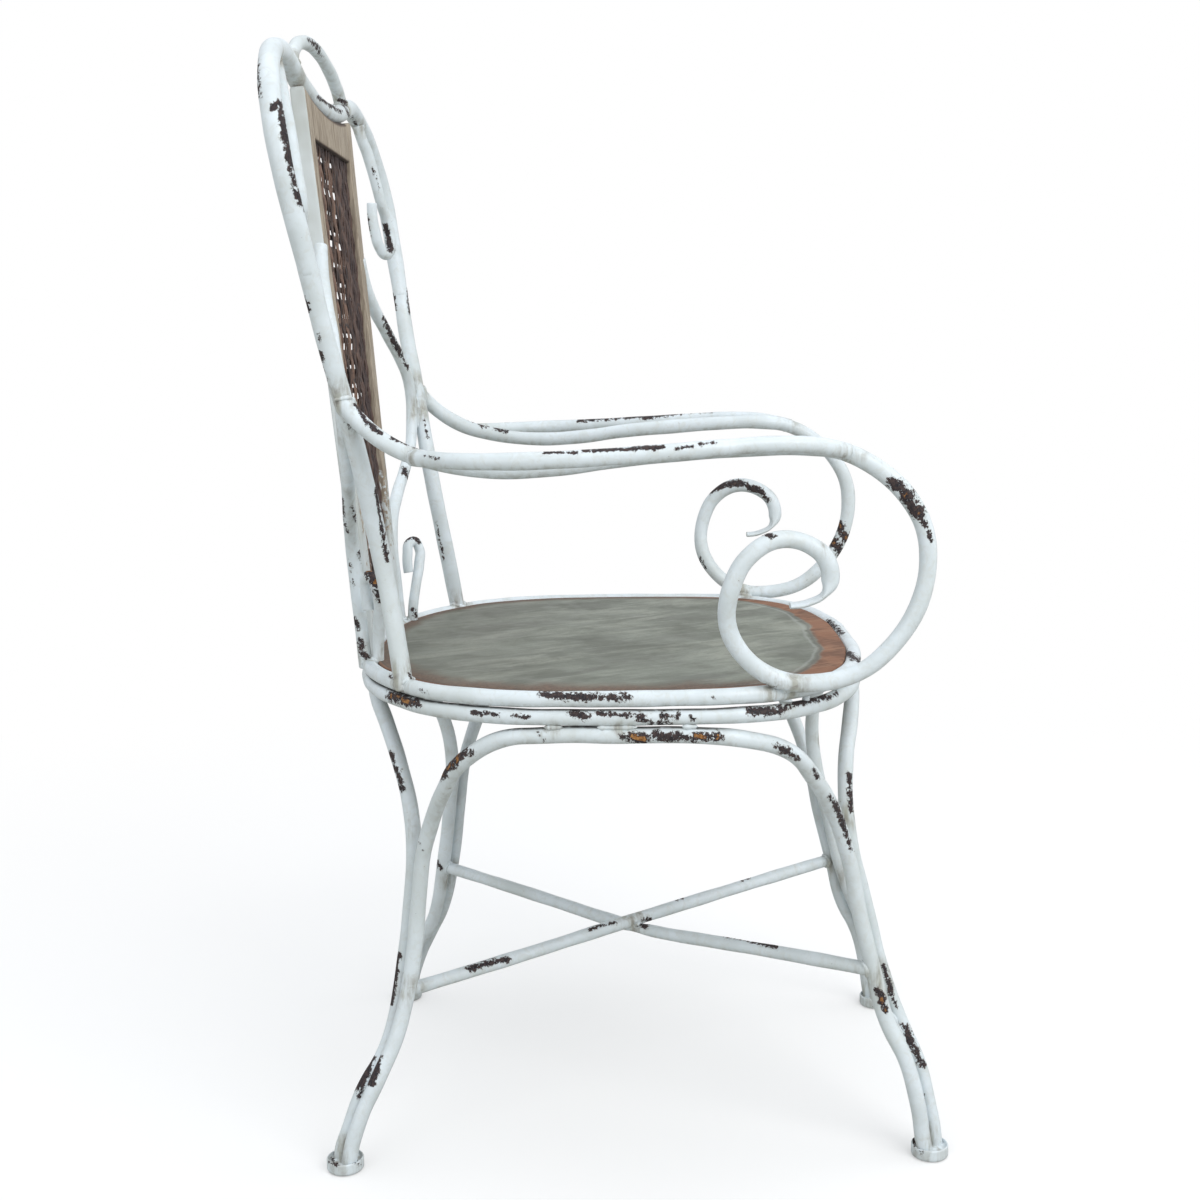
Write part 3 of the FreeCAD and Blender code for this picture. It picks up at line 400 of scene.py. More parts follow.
def paint_material():
    m, nt = new_mat("chipped_white_paint")
    g = Net(nt)
    out = [n for n in nt.nodes if n.type == "OUTPUT_MATERIAL"][0]
    co = g.n("ShaderNodeTexCoord").outputs["Object"]
    wear, core, grime = g.attr("wear"), g.attr("core"), g.attr("grime")
    n1 = g.noise(co, 330.0, 7.0, 0.74, 0.4)
    n2 = g.noise(co, 110.0, 5.0, 0.66, 0.9)
    n3 = g.noise(co, 34.0, 3.0, 0.5)
    n4 = g.noise(co, 820.0, 3.0, 0.6)
    ragged = g.math("ADD", g.math("MULTIPLY", g.math("SUBTRACT", n1, 0.5), 1.75), g.math("MULTIPLY", g.math("SUBTRACT", n2, 0.5), 1.35))
    val = g.math("ADD", g.math("MULTIPLY", wear, 1.22), ragged)
    chip = g.ramp(val, 0.475, 0.495)
    halo = g.ramp(val, 0.38, 0.48)
    # pinholes and small flakes anywhere, thicker where the mask of grime and painted shade is high
    speck = g.math("MULTIPLY", g.ramp(n4, 0.71, 0.745), g.ramp(g.math("ADD", n3, g.math("MULTIPLY", grime, 0.22)), 0.58, 0.68))
    chip_all = g.math("MAXIMUM", chip, g.math("MULTIPLY", speck, 0.85))

    # paint: slightly blue white, greyed and greened in broad patches
    c_white = g.mix(g.ramp(n3, 0.38, 0.66), (0.705, 0.772, 0.812), (0.640, 0.702, 0.728))
    broad = g.noise(co, 9.0, 3.0, 0.55)
    c_white = g.mix(g.math("MULTIPLY", g.ramp(n2, 0.46, 0.66), 0.42), c_white, (0.585, 0.612, 0.588))
    c_white = g.mix(g.math("MULTIPLY", g.ramp(broad, 0.45, 0.72), 0.55), c_white, (0.585, 0.635, 0.625))
    n_streak = g.noise(g.mapping(co, (1.0, 1.0, 0.16)), 120.0, 4.0, 0.6)
    # dark brown streaks laid on by that mask: painted shade on undersides and near the floor, dirt and painted shade at
    # the joints
    dirt_and_shade = g.math("MULTIPLY", g.ramp(n_streak, 0.38, 0.66), g.ramp(g.math("ADD", grime, g.math("MULTIPLY", n3, 0.30)), 0.22, 0.95), clamp=True)
    c_dirt_and_shade = g.mix(g.ramp(n2, 0.40, 0.62), (0.335, 0.325, 0.250), (0.180, 0.150, 0.110))
    c_paint = g.mix(g.math("MULTIPLY", dirt_and_shade, 0.78), c_white, c_dirt_and_shade)
    c_paint = g.mix(g.math("MULTIPLY", halo, 0.38), c_paint, (0.400, 0.370, 0.330))
    # painted shade: near black in the gap where two tubes lie on each other
    crease = g.math("MULTIPLY", g.attr("crease"), g.ramp(n2, 0.30, 0.50, 0.45, 1.0))
    c_paint = g.mix(g.math("MULTIPLY", crease, 0.90), c_paint, (0.060, 0.054, 0.048))

    # bare steel under the paint: near black scale with brown and, in places, orange rust
    c_bare = g.mix(g.ramp(n1, 0.42, 0.64), (0.017, 0.016, 0.021), (0.066, 0.045, 0.042))
    c_bare = g.mix(g.math("MULTIPLY", g.ramp(n4, 0.52, 0.68), 0.35), c_bare, (0.150, 0.098, 0.078))
    rusty = g.math("MULTIPLY", core, g.ramp(n2, 0.47, 0.60))
    c_rust = g.mix(g.ramp(n1, 0.42, 0.60), (0.170, 0.066, 0.018), (0.400, 0.200, 0.066))
    c_bare = g.mix(g.ramp(rusty, 0.24, 0.50), c_bare, c_rust)
    col = g.mix(chip_all, c_paint, c_bare)

    rough = g.ramp(chip_all, 0.0, 1.0, 0.36, 0.86, "LINEAR")
    rough = g.math("ADD", rough, g.math("MULTIPLY", g.math("SUBTRACT", n3, 0.5), 0.30), clamp=True)
    h = g.math("SUBTRACT", g.math("MULTIPLY", n3, 0.22), g.math("MULTIPLY", chip_all, 0.55))
    h = g.math("ADD", h, g.math("MULTIPLY", halo, 0.18))
    h = g.math("ADD", h, g.math("MULTIPLY", g.math("MULTIPLY", n4, chip_all), 0.35))
    bsdf = g.n("ShaderNodeBsdfPrincipled")
    g.link(col, bsdf.inputs["Base Color"])
    g.link(rough, bsdf.inputs["Roughness"])
    bsdf.inputs["Specular IOR Level"].default_value = 0.36
    g.link(g.bump(h, 0.75, 0.0009), bsdf.inputs["Normal"])
    bsdf.inputs["Coat Weight"].default_value = 0.05
    bsdf.inputs["Coat Roughness"].default_value = 0.25
    g.link(bsdf.outputs[0], out.inputs["Surface"])
    return m


def seat_material():
    m, nt = new_mat("worn_seat_sheet")
    g = Net(nt)
    out = [n for n in nt.nodes if n.type == "OUTPUT_MATERIAL"][0]
    co = g.n("ShaderNodeTexCoord").outputs["Object"]
    edge = g.attr("edge")        # 0 at the rim, in decimetres inwards
    rust = g.attr("rust")
    base = g.noise(co, 9.0, 5.0, 0.60, 0.5)
    turned = g.mapping(co, rot=(0, 0, math.radians(58)))
    streak = g.noise(g.mapping(turned, (0.42, 1.0, 1.0)), 22.0, 7.0, 0.64, 0.55)
    fine = g.noise(g.mapping(turned, (0.16, 1.0, 1.0)), 130.0, 5.0, 0.62, 0.2)
    grain = g.noise(co, 420.0, 3.0, 0.6)
    patch = g.noise(co, 26.0, 5.0, 0.6, 0.5)
    place = g.n("ShaderNodeSeparateXYZ")
    g.link(co, place.inputs[0])
    c = g.mix(g.ramp(base, 0.34, 0.68), (0.110, 0.121, 0.092), (0.205, 0.224, 0.182))
    c = g.mix(g.math("MULTIPLY", g.ramp(streak, 0.46, 0.68), 0.72), c, (0.318, 0.332, 0.276))
    c = g.mix(g.math("MULTIPLY", g.ramp(streak, 0.48, 0.30), 0.55), c, (0.085, 0.085, 0.066))
    c = g.mix(g.math("MULTIPLY", g.ramp(patch, 0.54, 0.72), 0.30), c, (0.088, 0.092, 0.074))
    c = g.mix(g.math("MULTIPLY", g.ramp(fine, 0.50, 0.70), 0.34), c, (0.330, 0.345, 0.305))
    c = g.mix(g.math("MULTIPLY", g.ramp(fine, 0.48, 0.32), 0.30), c, (0.090, 0.092, 0.072))
    c = g.mix(g.math("MULTIPLY", g.ramp(grain, 0.42, 0.66), 0.22), c, (0.105, 0.100, 0.080))
    c = g.mix(g.ramp(place.outputs["Y"], 0.02, 0.22, 0.0, 0.34), c, (0.095, 0.088, 0.064))
    # brown rim, a wide soft band on the near side, redder where the rust attribute says so
    near = g.ramp(place.outputs["X"], 0.02, -0.19)
    reach = g.math("MULTIPLY", edge, g.math("SUBTRACT", 1.0, g.math("MULTIPLY", near, 0.50)))
    e = g.math("ADD", reach, g.math("MULTIPLY", g.math("SUBTRACT", patch, 0.5), 0.26))
    rim = g.ramp(e, 0.21, 0.04)
    c = g.mix(g.math("MULTIPLY", rim, 0.88), c, g.mix(g.ramp(grain, 0.4, 0.6), (0.100, 0.060, 0.043), (0.160, 0.096, 0.066)))
    wavy = g.math("ADD", rust, g.math("MULTIPLY", g.math("SUBTRACT", patch, 0.5), 0.42))
    r = g.ramp(wavy, 0.45, 0.58)
    c = g.mix(r, c, g.mix(g.ramp(patch, 0.42, 0.62), (0.235, 0.108, 0.058), (0.150, 0.072, 0.043)))
    c = g.mix(g.math("MULTIPLY", r, g.math("MULTIPLY", g.ramp(fine, 0.48, 0.66), 0.5)), c, (0.330, 0.190, 0.115))
    edge_line = g.math("MULTIPLY", g.ramp(g.math("ABSOLUTE", g.math("SUBTRACT", wavy, 0.43)), 0.07, 0.0), 0.62)
    c = g.mix(edge_line, c, (0.080, 0.072, 0.060))
    crust = g.math("MULTIPLY", g.ramp(g.math("ABSOLUTE", g.math("SUBTRACT", wavy, 0.30)), 0.08, 0.0), g.math("MULTIPLY", g.ramp(place.outputs["Y"], -0.06, -0.14), 0.45))
    c = g.mix(crust, c, (0.330, 0.345, 0.320))
    bsdf = g.n("ShaderNodeBsdfPrincipled")
    g.link(c, bsdf.inputs["Base Color"])
    rough = g.math("ADD", g.math("MULTIPLY", g.math("SUBTRACT", patch, 0.5), 0.45), g.ramp(g.math("MAXIMUM", rim, r), 0, 1, 0.50, 0.80, "LINEAR"), clamp=True)
    g.link(rough, bsdf.inputs["Roughness"])
    h = g.math("ADD", g.math("MULTIPLY", grain, 0.30), g.math("MULTIPLY", streak, 0.35))
    h = g.math("SUBTRACT", h, g.math("MULTIPLY", r, 0.25))
    g.link(g.bump(h, 0.55, 0.0007), bsdf.inputs["Normal"])
    bsdf.inputs["Metallic"].default_value = 0.0
    g.link(bsdf.outputs[0], out.inputs["Surface"])
    return m


def wood_material(name, along):
    m, nt = new_mat(name)
    g = Net(nt)
    out = [n for n in nt.nodes if n.type == "OUTPUT_MATERIAL"][0]
    co = g.n("ShaderNodeTexCoord").outputs["Object"]
    sc = {"z": (1.0, 1.0, 0.045), "x": (0.045, 1.0, 1.0)}[along]
    v = g.mapping(co, sc)
    rings = g.noise(v, 330.0, 6.0, 0.66, 0.5)
    fib = g.noise(v, 900.0, 4.0, 0.6, 0.2)
    big = g.noise(co, 14.0, 3.0, 0.55)
    nib = g.noise(co, 150.0, 5.0, 0.62, 0.4)
    grime, side, low = g.attr("grime"), g.attr("side"), g.attr("low")
    c = g.mix(g.ramp(rings, 0.34, 0.62), (0.215, 0.170, 0.125), (0.440, 0.372, 0.290))
    c = g.mix(g.math("MULTIPLY", g.ramp(fib, 0.50, 0.66), 0.62), c, (0.150, 0.115, 0.086))
    c = g.mix(g.math("MULTIPLY", g.ramp(big, 0.42, 0.70), 0.30), c, (0.460, 0.415, 0.350))
    # darker towards the foot, and painted shadow, near black, in the recess under the top rail and along its top under
    # the crown
    c = g.mix(g.math("MULTIPLY", g.ramp(g.math("ADD", grime, g.math("MULTIPLY", big, 0.3)), 0.35, 1.0), 0.75), c, (0.115, 0.070, 0.050))
    c = g.mix(g.math("MULTIPLY", g.ramp(grime, 0.85, 1.15), 0.80), c, (0.030, 0.018, 0.014))
    # what is left of the paint: solid on the outer edge, thin and broken towards the foot
    left = g.math("ADD", side, g.math("MULTIPLY", low, 0.62))
    pm = g.ramp(g.math("ADD", left, g.math("MULTIPLY", g.math("SUBTRACT", nib, 0.5), 1.1)), 0.42, 0.52)
    white = g.mix(g.ramp(big, 0.40, 0.66), (0.620, 0.665, 0.675), (0.500, 0.530, 0.515))
    c = g.mix(pm, c, white)
    bsdf = g.n("ShaderNodeBsdfPrincipled")
    g.link(c, bsdf.inputs["Base Color"])
    g.link(g.math("SUBTRACT", g.ramp(fib, 0.3, 0.7, 0.62, 0.88, "LINEAR"), g.math("MULTIPLY", pm, 0.25)), bsdf.inputs["Roughness"])
    h = g.math("ADD", g.math("MULTIPLY", rings, 0.6), g.math("MULTIPLY", fib, 0.4))
    h = g.math("ADD", h, g.math("MULTIPLY", pm, 0.45))
    g.link(g.bump(h, 0.55, 0.0006), bsdf.inputs["Normal"])
    g.link(bsdf.outputs[0], out.inputs["Surface"])
    return m


def cane_material():
    m, nt = new_mat("dark_cane")
    g = Net(nt)
    out = [n for n in nt.nodes if n.type == "OUTPUT_MATERIAL"][0]
    co = g.n("ShaderNodeTexCoord").outputs["Object"]
    tone, far = g.attr("tone"), g.attr("far")
    fib = g.noise(g.mapping(co, (1, 1, 0.25)), 700.0, 4.0, 0.6, 0.3)
    spot = g.noise(co, 60.0, 4.0, 0.6)
    c = g.mix(tone, (0.024, 0.013, 0.011), (0.205, 0.122, 0.088))
    c = g.mix(g.math("MULTIPLY", g.ramp(fib, 0.50, 0.72), g.math("MULTIPLY", tone, 0.60)), c, (0.310, 0.212, 0.158))
    c = g.mix(g.math("MULTIPLY", g.ramp(spot, 0.50, 0.68), 0.50), c, (0.036, 0.020, 0.018))
    c = g.mix(g.math("MULTIPLY", far, 0.62), c, g.mix(g.ramp(fib, 0.45, 0.65), (0.030, 0.020, 0.024), (0.095, 0.066, 0.062)))
    bsdf = g.n("ShaderNodeBsdfPrincipled")
    g.link(c, bsdf.inputs["Base Color"])
    g.link(g.ramp(spot, 0.3, 0.7, 0.50, 0.78, "LINEAR"), bsdf.inputs["Roughness"])
    bsdf.inputs["Specular IOR Level"].default_value = 0.28
    g.link(g.bump(fib, 0.5, 0.0004), bsdf.inputs["Normal"])
    g.link(bsdf.outputs[0], out.inputs["Surface"])
    return m


PAINT = paint_material()
SEAT = seat_material()
WOOD_UP = wood_material("greyed_timber", "z")
CANE = cane_material()


# -------------------------------------------------------------- mesh helpers
JOINTS = []          # world points where members meet: dirt and painted shade gather there


def vertex_normals(co, faces):
    me_no = np.zeros_like(co)
    for k in range(2):
        a, b, c = faces[:, 0], faces[:, 1 + k], faces[:, 2 + k]
        n = np.cross(co[b] - co[a], co[c] - co[a])
        for i in (a, b, c):
            np.add.at(me_no, i, n)
    return me_no / np.maximum(np.linalg.norm(me_no, axis=1)[:, None], 1e-12)


def add_mesh(name, co, faces, mat, replaces=(), attrs=None, smooth_shade=True, wear_name=None, seed=1, density=1.0, grime=None):
    co = np.asarray(co, float)
    me = bpy.data.meshes.new(name)
    me.from_pydata([tuple(p) for p in co], [], [tuple(int(i) for i in f) for f in faces])
    me.update()
    me.polygons.foreach_set("use_smooth", [smooth_shade] * len(me.polygons))
    no = np.zeros(len(co) * 3)
    me.vertices.foreach_get("normal", no)
    no = no.reshape(-1, 3)
    attrs = dict(attrs or {})
    if wear_name is not None:
        w, k = picture_wear(wear_name, co, no)
        w2, k2 = hidden_wear(seed, co, no, density)
        attrs["wear"] = np.maximum(w, w2)
        attrs["core"] = np.maximum(k, k2)
    # painted shade mixed with grime: darker on faces that look down and within 5 cm of the floor, dirt and painted
    # shade close to the joints
    if "grime" not in attrs and (wear_name is not None or grime):
        g = smooth(0.25, -0.95, no[:, 2]) * 0.42
        if JOINTS:
            J = np.array([list(p) for p, r in JOINTS])
            RR = np.array([r for p, r in JOINTS])
            for p, r in zip(J, RR):
                d = np.linalg.norm(co - p, axis=1)
                g = np.maximum(g, (1 - smooth(r * 0.4, r * 1.5, d)) * 0.72)
        g = np.maximum(g, (1 - smooth(0.006, 0.05, co[:, 2])) * 0.42)
        attrs["grime"] = np.clip(g, 0, 1)
    # painted shade in the gap where the two seat rings lie on each other at the front and where the side legs meet the
    # lower ring
    if wear_name in ("seat_ring_upper", "seat_ring_lower", "leg_arch_left", "leg_arch_right"):
        up, y, z = no[:, 2], co[:, 1], co[:, 2]
        if wear_name == "seat_ring_upper":
            cr = smooth(0.80, 0.96, -up) * smooth(-0.125, -0.085, y)
        elif wear_name == "seat_ring_lower":
            cr = smooth(0.80, 0.96, up) * smooth(-0.125, -0.085, y)
            cr = np.maximum(cr, smooth(0.84, 0.97, -up) * (1 - smooth(0.075, 0.105, np.abs(y - 0.01))) * smooth(0.20, 0.24, np.abs(co[:, 0])))
        else:
            cr = smooth(0.80, 0.96, up) * smooth(0.404, 0.409, z) * (1 - smooth(0.075, 0.105, np.abs(y - 0.01)))
        attrs["crease"] = cr
    for k, v in attrs.items():
        a = me.attributes.new(k, "FLOAT", "POINT")
        a.data.foreach_set("value", np.asarray(v, np.float32))
    me.materials.append(mat)
    ob = bpy.data.objects.new(name, me)
    bpy.context.scene.collection.objects.link(ob)
    if replaces:
        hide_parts(*replaces)
    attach(ob, "root")
    return ob


def frames(pts, closed=False, up=None):
    n = len(pts)
    T = []
    for i in range(n):
        a = pts[(i - 1) % n] if (closed or i > 0) else pts[i]
        b = pts[(i + 1) % n] if (closed or i < n - 1) else pts[i]
        T.append((b - a).normalized())
    x = (up or Vector((1, 0, 0)))
    x = (x - T[0] * x.dot(T[0]))
    if x.length < 1e-4:
        x = Vector((0, 1, 0)) - T[0] * T[0].y
    x.normalize()
    X = [x]
    for i in range(1, n):
        q = T[i - 1].rotation_difference(T[i])
        x = q @ X[-1]
        x = (x - T[i] * x.dot(T[i])).normalized()
        X.append(x)
    if closed:
        q = T[-1].rotation_difference(T[0])
        xe = (q @ X[-1])
        xe = (xe - T[0] * xe.dot(T[0])).normalized()
        ang = math.atan2(xe.cross(X[0]).dot(T[0]), xe.dot(X[0]))
        for i in range(n):
            X[i] = Matrix.Rotation(ang * i / n, 3, T[i]) @ X[i]
    Y = [T[i].cross(X[i]) for i in range(n)]
    return T, X, Y


def tube_mesh(pts, radius, segs=26, closed=False, shape=None, cap=("round", "round"), seed=0, up=None, wobble=0.00016):
    """A bent tube.  radius is a number or a function of arc length share; shape(t) may give (a, b) half axes along X and Y of the frame."""
    T, X, Y = frames(pts, closed, up)
    n = len(pts)
    rng = np.random.default_rng(seed + 77)
    ph = rng.uniform(0, 6.28, 8)
    s = np.zeros(n)
    for i in range(1, n):
        s[i] = s[i - 1] + (pts[i] - pts[i - 1]).length
    L = s[-1]
    ang = np.linspace(0, 2 * math.pi, segs, endpoint=False)
    co = []
    for i in range(n):
        t = s[i] / L
        r = radius(t) if callable(radius) else radius
        a, b = (r, r)
        if shape:
            a, b = shape(t, s[i], L)
        # hand-bent tube: very slightly out of round and uneven along its run
        w = wobble * (math.sin(s[i] * 55 + ph[0]) + 0.6 * math.sin(s[i] * 131 + ph[1]))
        oval = wobble * 0.9 * math.sin(s[i] * 23 + ph[2])
        x, y, p = np.array(X[i]), np.array(Y[i]), np.array(pts[i])
        rx, ry = a + w + oval, b + w - oval
        co.append(p + np.outer(np.cos(ang) * rx, x) + np.outer(np.sin(ang) * ry, y))
    co = np.concatenate(co)
    faces = []
    for i in range(n if closed else n - 1):
        k = (i + 1) % n
        for j in range(segs):
            m = (j + 1) % segs
            faces.append((i * segs + j, i * segs + m, k * segs + m, k * segs + j))
    if not closed:
        for end, kind in ((0, cap[0]), (1, cap[1])):
            i = 0 if end == 0 else n - 1
            t_dir = -T[i] if end == 0 else T[i]
            ring = np.arange(i * segs, (i + 1) * segs)
            c = np.array(pts[i])
            rim = co[ring] - c
            depth = float(np.linalg.norm(rim, axis=1).min())
            layers = []
            if kind == "round":
                for f, d in ((0.93, 0.10), (0.80, 0.18), (0.55, 0.25), (0.25, 0.28)):
                    layers.append((f, d * depth))
            elif kind == "open":
                # open tube end: rounded lip, then the bore
                for f, d in ((0.965, 0.045), (0.90, 0.05), (0.83, 0.02), (0.80, -0.12), (0.78, -1.4)):
                    layers.append((f, d * depth))
            elif kind == "flat":
                for f, d in ((0.97, 0.07), (0.90, 0.10), (0.5, 0.105)):
                    layers.append((f, d * depth))
            prev = ring
            for f, d in layers:
                start = len(co)
                co = np.vstack([co, c + rim * f + np.array(t_dir) * d])
                new = np.arange(start, start + segs)
                for j in range(segs):
                    m = (j + 1) % segs
                    q = (prev[j], prev[m], new[m], new[j])
                    faces.append(q if end == 1 else q[::-1])
                prev = new
            if layers:
                start = len(co)
                co = np.vstack([co, c + np.array(t_dir) * layers[-1][1]])
                for j in range(segs):
                    m = (j + 1) % segs
                    q = (prev[j], prev[m], start)
                    faces.append(q if end == 1 else q[::-1])
    return co, faces


# ------------------------------------------------------------------ the routes
RING_UP_Z, RING_LOW_Z = 0.442, 0.4277
ring_half = R["ring"]
ring_all = ring_half + [Vector((-p.x, p.y, p.z)) for p in reversed(ring_half[1:-1])]
ring_flat = route(ring_all, closed=True)
ring_up = [p + Vector((0, 0, RING_UP_Z)) for p in ring_flat]
_t = math.radians(0.38)
ring_low = []
for p in ring_flat:
    y, z = p.y - 0.140, p.z
    ring_low.append(Vector((p.x, 0.140 + y * math.cos(_t) - z * math.sin(_t), RING_LOW_Z + y * math.sin(_t) + z * math.cos(_t))))

JOIN = (Vector((255.5, 251, 828)) - Vector((230, 236.5, 738))).normalized()
ROUTE = {
    "seat_ring_upper": ring_up,
    "seat_ring_lower": ring_low,
    "leg_arch_left": route(R["side_arch"]),
    "leg_arch_front": route(R["front_arch"], mirror_half=True),
    "leg_arch_back": route(R["back_arch"], mirror_half=True),
    "brace_upper": route(R["brace_a"]),
    "brace_lower": route(R["brace_b"]),
    "back_crown": route(R["crown"], mirror_half=True, first=JOIN, last=Vector((JOIN.x, -JOIN.y, -JOIN.z))),
    "upright_left": route(R["upright"], last=JOIN),
    "crest_arch": route(R["crest"], mirror_half=True),
    "back_scroll_left": route(R["scroll"]),
    "back_bracket_left": route(R["bracket"]),
    "seat_hook_left": route(R["hook"]),
    "arm_left": route(R["arm"]),
    "arm_rail_left": route(R["rail"]),
}
for k in list(ROUTE):
    if k.endswith("_left"):
        ROUTE[k.replace("_left", "_right")] = flip(ROUTE[k])
RAD = {"seat_ring_upper": 6.75, "seat_ring_lower": 6.75, "leg_arch": 7.0, "brace": 6.2, "back_crown": 8.7, "upright": 8.0, "crest_arch": 6.0,
       "back_scroll": 5.5, "back_bracket": 6.0, "seat_hook": 5.2, "arm_rail": 6.7, "arm": 7.3}


def radius_of(node):
    for k in sorted(RAD, key=len, reverse=True):
        if node.startswith(k):
            return RAD[k] * 0.001
    raise KeyError(node)


# where members meet: x, y, z, reach of the gathered dirt and painted shade (metres)
for sgn in (-1, 1):
    JOINTS += [
        (V(sgn * .201, .187, .448), .020), (V(sgn * .217, .227, .684), .020), (V(sgn * .2475, .165, .6365), .016),
        (V(sgn * .243, -.180, .637), .015), (V(sgn * .106, .236, .449), .020), (V(sgn * .111, .2225, .449), .018), (V(sgn * .202, .226, .660), .018),
        (V(sgn * .189, .2745, .953), .013), (V(sgn * .106, .277, .962), .018), (V(sgn * .102, .261, .806), .006), (V(sgn * .250, -.130, .447), .022),
        (V(sgn * .262, -.163, .560), .010), (V(sgn * .157, .196, .155), .020), (V(sgn * .152, -.222, .160), .022), (V(sgn * .150, .200, .300), .014),
        (V(sgn * .146, -.200, .310), .014), (V(sgn * .260, .0, .418), .012), (V(sgn * .258, .06, .418), .012), (V(sgn * .035, .239, .420), .012),
        (V(sgn * .035, -.211, .418), .012), (V(sgn * .190, .2545, .014), .018), (V(sgn * .167, -.2696, .014), .018)]
JOINTS += [(V(0, -.0035, .157), .020), (V(0, -.211, .435), .014), (V(.070, .237, .449), .016), (V(-.070, .237, .449), .016)]


# ------------------------------------------------------------------ weld beads
def dist_to(route_np, p):
    return np.sqrt(((route_np - p) ** 2).sum(1).min())


def fine(pts, step=0.0006):
    out = [pts[0]]
    for a, b in zip(pts, pts[1:]):
        n = max(1, int(math.ceil((b - a).length / step)))
        out += [a + (b - a) * ((i + 1) / n) for i in range(n)]
    return out


def bead_tube(path, r, seed, closed):
    """a lumpy weld bead along a path, pulled thin at its ends when it is open"""
    rng = np.random.default_rng(seed)
    ph = rng.uniform(0, 6.28, 6)
    L = sum((b - a).length for a, b in zip(path, path[1:])) + 1e-9

    def rad(t):
        s = t * L
        k = 1 + 0.14 * math.sin(s * 1500 + ph[0]) + 0.16 * math.sin(s * 620 + ph[1]) + 0.10 * math.sin(s * 2600 + ph[2])
        if not closed:
            k *= (min(1.0, t / 0.16, (1 - t) / 0.16) ** 0.5) * 0.85 + 0.15
        return r * k
    return tube_mesh(path, rad, segs=10, closed=closed, seed=seed, wobble=0.0, cap=("round", "round"))


def weld_ring(node_a, end, node_b, r=0.0019, seed=1, span=0.09):
    """bead where the end of one tube meets the side of another"""
    A = ROUTE[node_a]
    A = A if end == 0 else list(reversed(A))
    # keep the run close to the end
    run, s = [A[0]], 0.0
    for a, b in zip(A, A[1:]):
        s += (b - a).length
        run.append(b)
        if s > span:
            break
    run = fine(run)
    ra, rb = radius_of(node_a), radius_of(node_b)
    B = np.array([list(p) for p in fine(ROUTE[node_b] + ([ROUTE[node_b][0]] if node_b.startswith("seat_ring") else []), 0.0012)])
    T, X, Y = frames(run)
    loop = []
    for k in range(28):
        th = 2 * math.pi * k / 28
        hit = None
        last = None
        for i in range(len(run)):
            p = run[i] + (X[i] * math.cos(th) + Y[i] * math.sin(th)) * ra
            d = dist_to(B, np.array(p)) - rb
            if last is not None and last <= 0 < d:
                hit = p
                break
            last = d
        if hit is None:
            continue
        loop.append(hit)
    if len(loop) < 12:
        return None
    return bead_tube(loop, r, seed, True)


def weld_seam(node_a, node_b, keep, side, r=0.0021, seed=1, lift=0.62):
    """bead in the valley between two tubes that lie side by side; keep picks the points, side is the outward direction"""
    A = ROUTE[node_a]
    B = ROUTE[node_b]
    ra, rb = radius_of(node_a), radius_of(node_b)
    Bn = np.array([list(p) for p in fine(B, 0.0012)])
    out = []
    for i in range(1, len(A) - 1):
        if not keep(A[i]):
            continue
        p = np.array(A[i])
        q = Bn[((Bn - p) ** 2).sum(1).argmin()]
        d = Vector(q - p)
        if d.length > ra + rb + 0.0035:
            continue
        t = (A[i + 1] - A[i - 1]).normalized()
        n = d.normalized().cross(t)
        if n.dot(Vector(side)) < 0:
            n = -n
        c = A[i] + d * (ra / (ra + rb))
        out.append(c + n * math.sqrt(max((min(ra, rb) + r) ** 2 - (d.length * 0.5) ** 2, 0.0)) * lift)
    if len(out) < 4:
        return None
    return bead_tube(out, r, seed, False)


def blob(p, r, seed, squash=(1, 1, 1)):
    """small lump of weld metal"""
    rng = np.random.default_rng(seed)
    bm = bmesh.new()
    bmesh.ops.create_icosphere(bm, subdivisions=3, radius=1.0)
    co = np.array([list(v.co) for v in bm.verts])
    faces = [tuple(v.index for v in f.verts) for f in bm.faces]
    bm.free()
    for k in range(5):
        d = rng.normal(size=3)
        d /= np.linalg.norm(d)
        co *= (1 + rng.uniform(-.13, .13) * smooth(0.2, 1.0, co @ d))[:, None]
    return co * r * np.array(squash) + np.array(p), faces


def join_parts(*parts):
    cs, fs, k = [], [], 0
    for p in parts:
        if p is None:
            continue
        co, fa = p
        cs.append(np.asarray(co))
        fs += [tuple(i + k for i in f) for f in fa]
        k += len(co)
    return np.concatenate(cs), fs


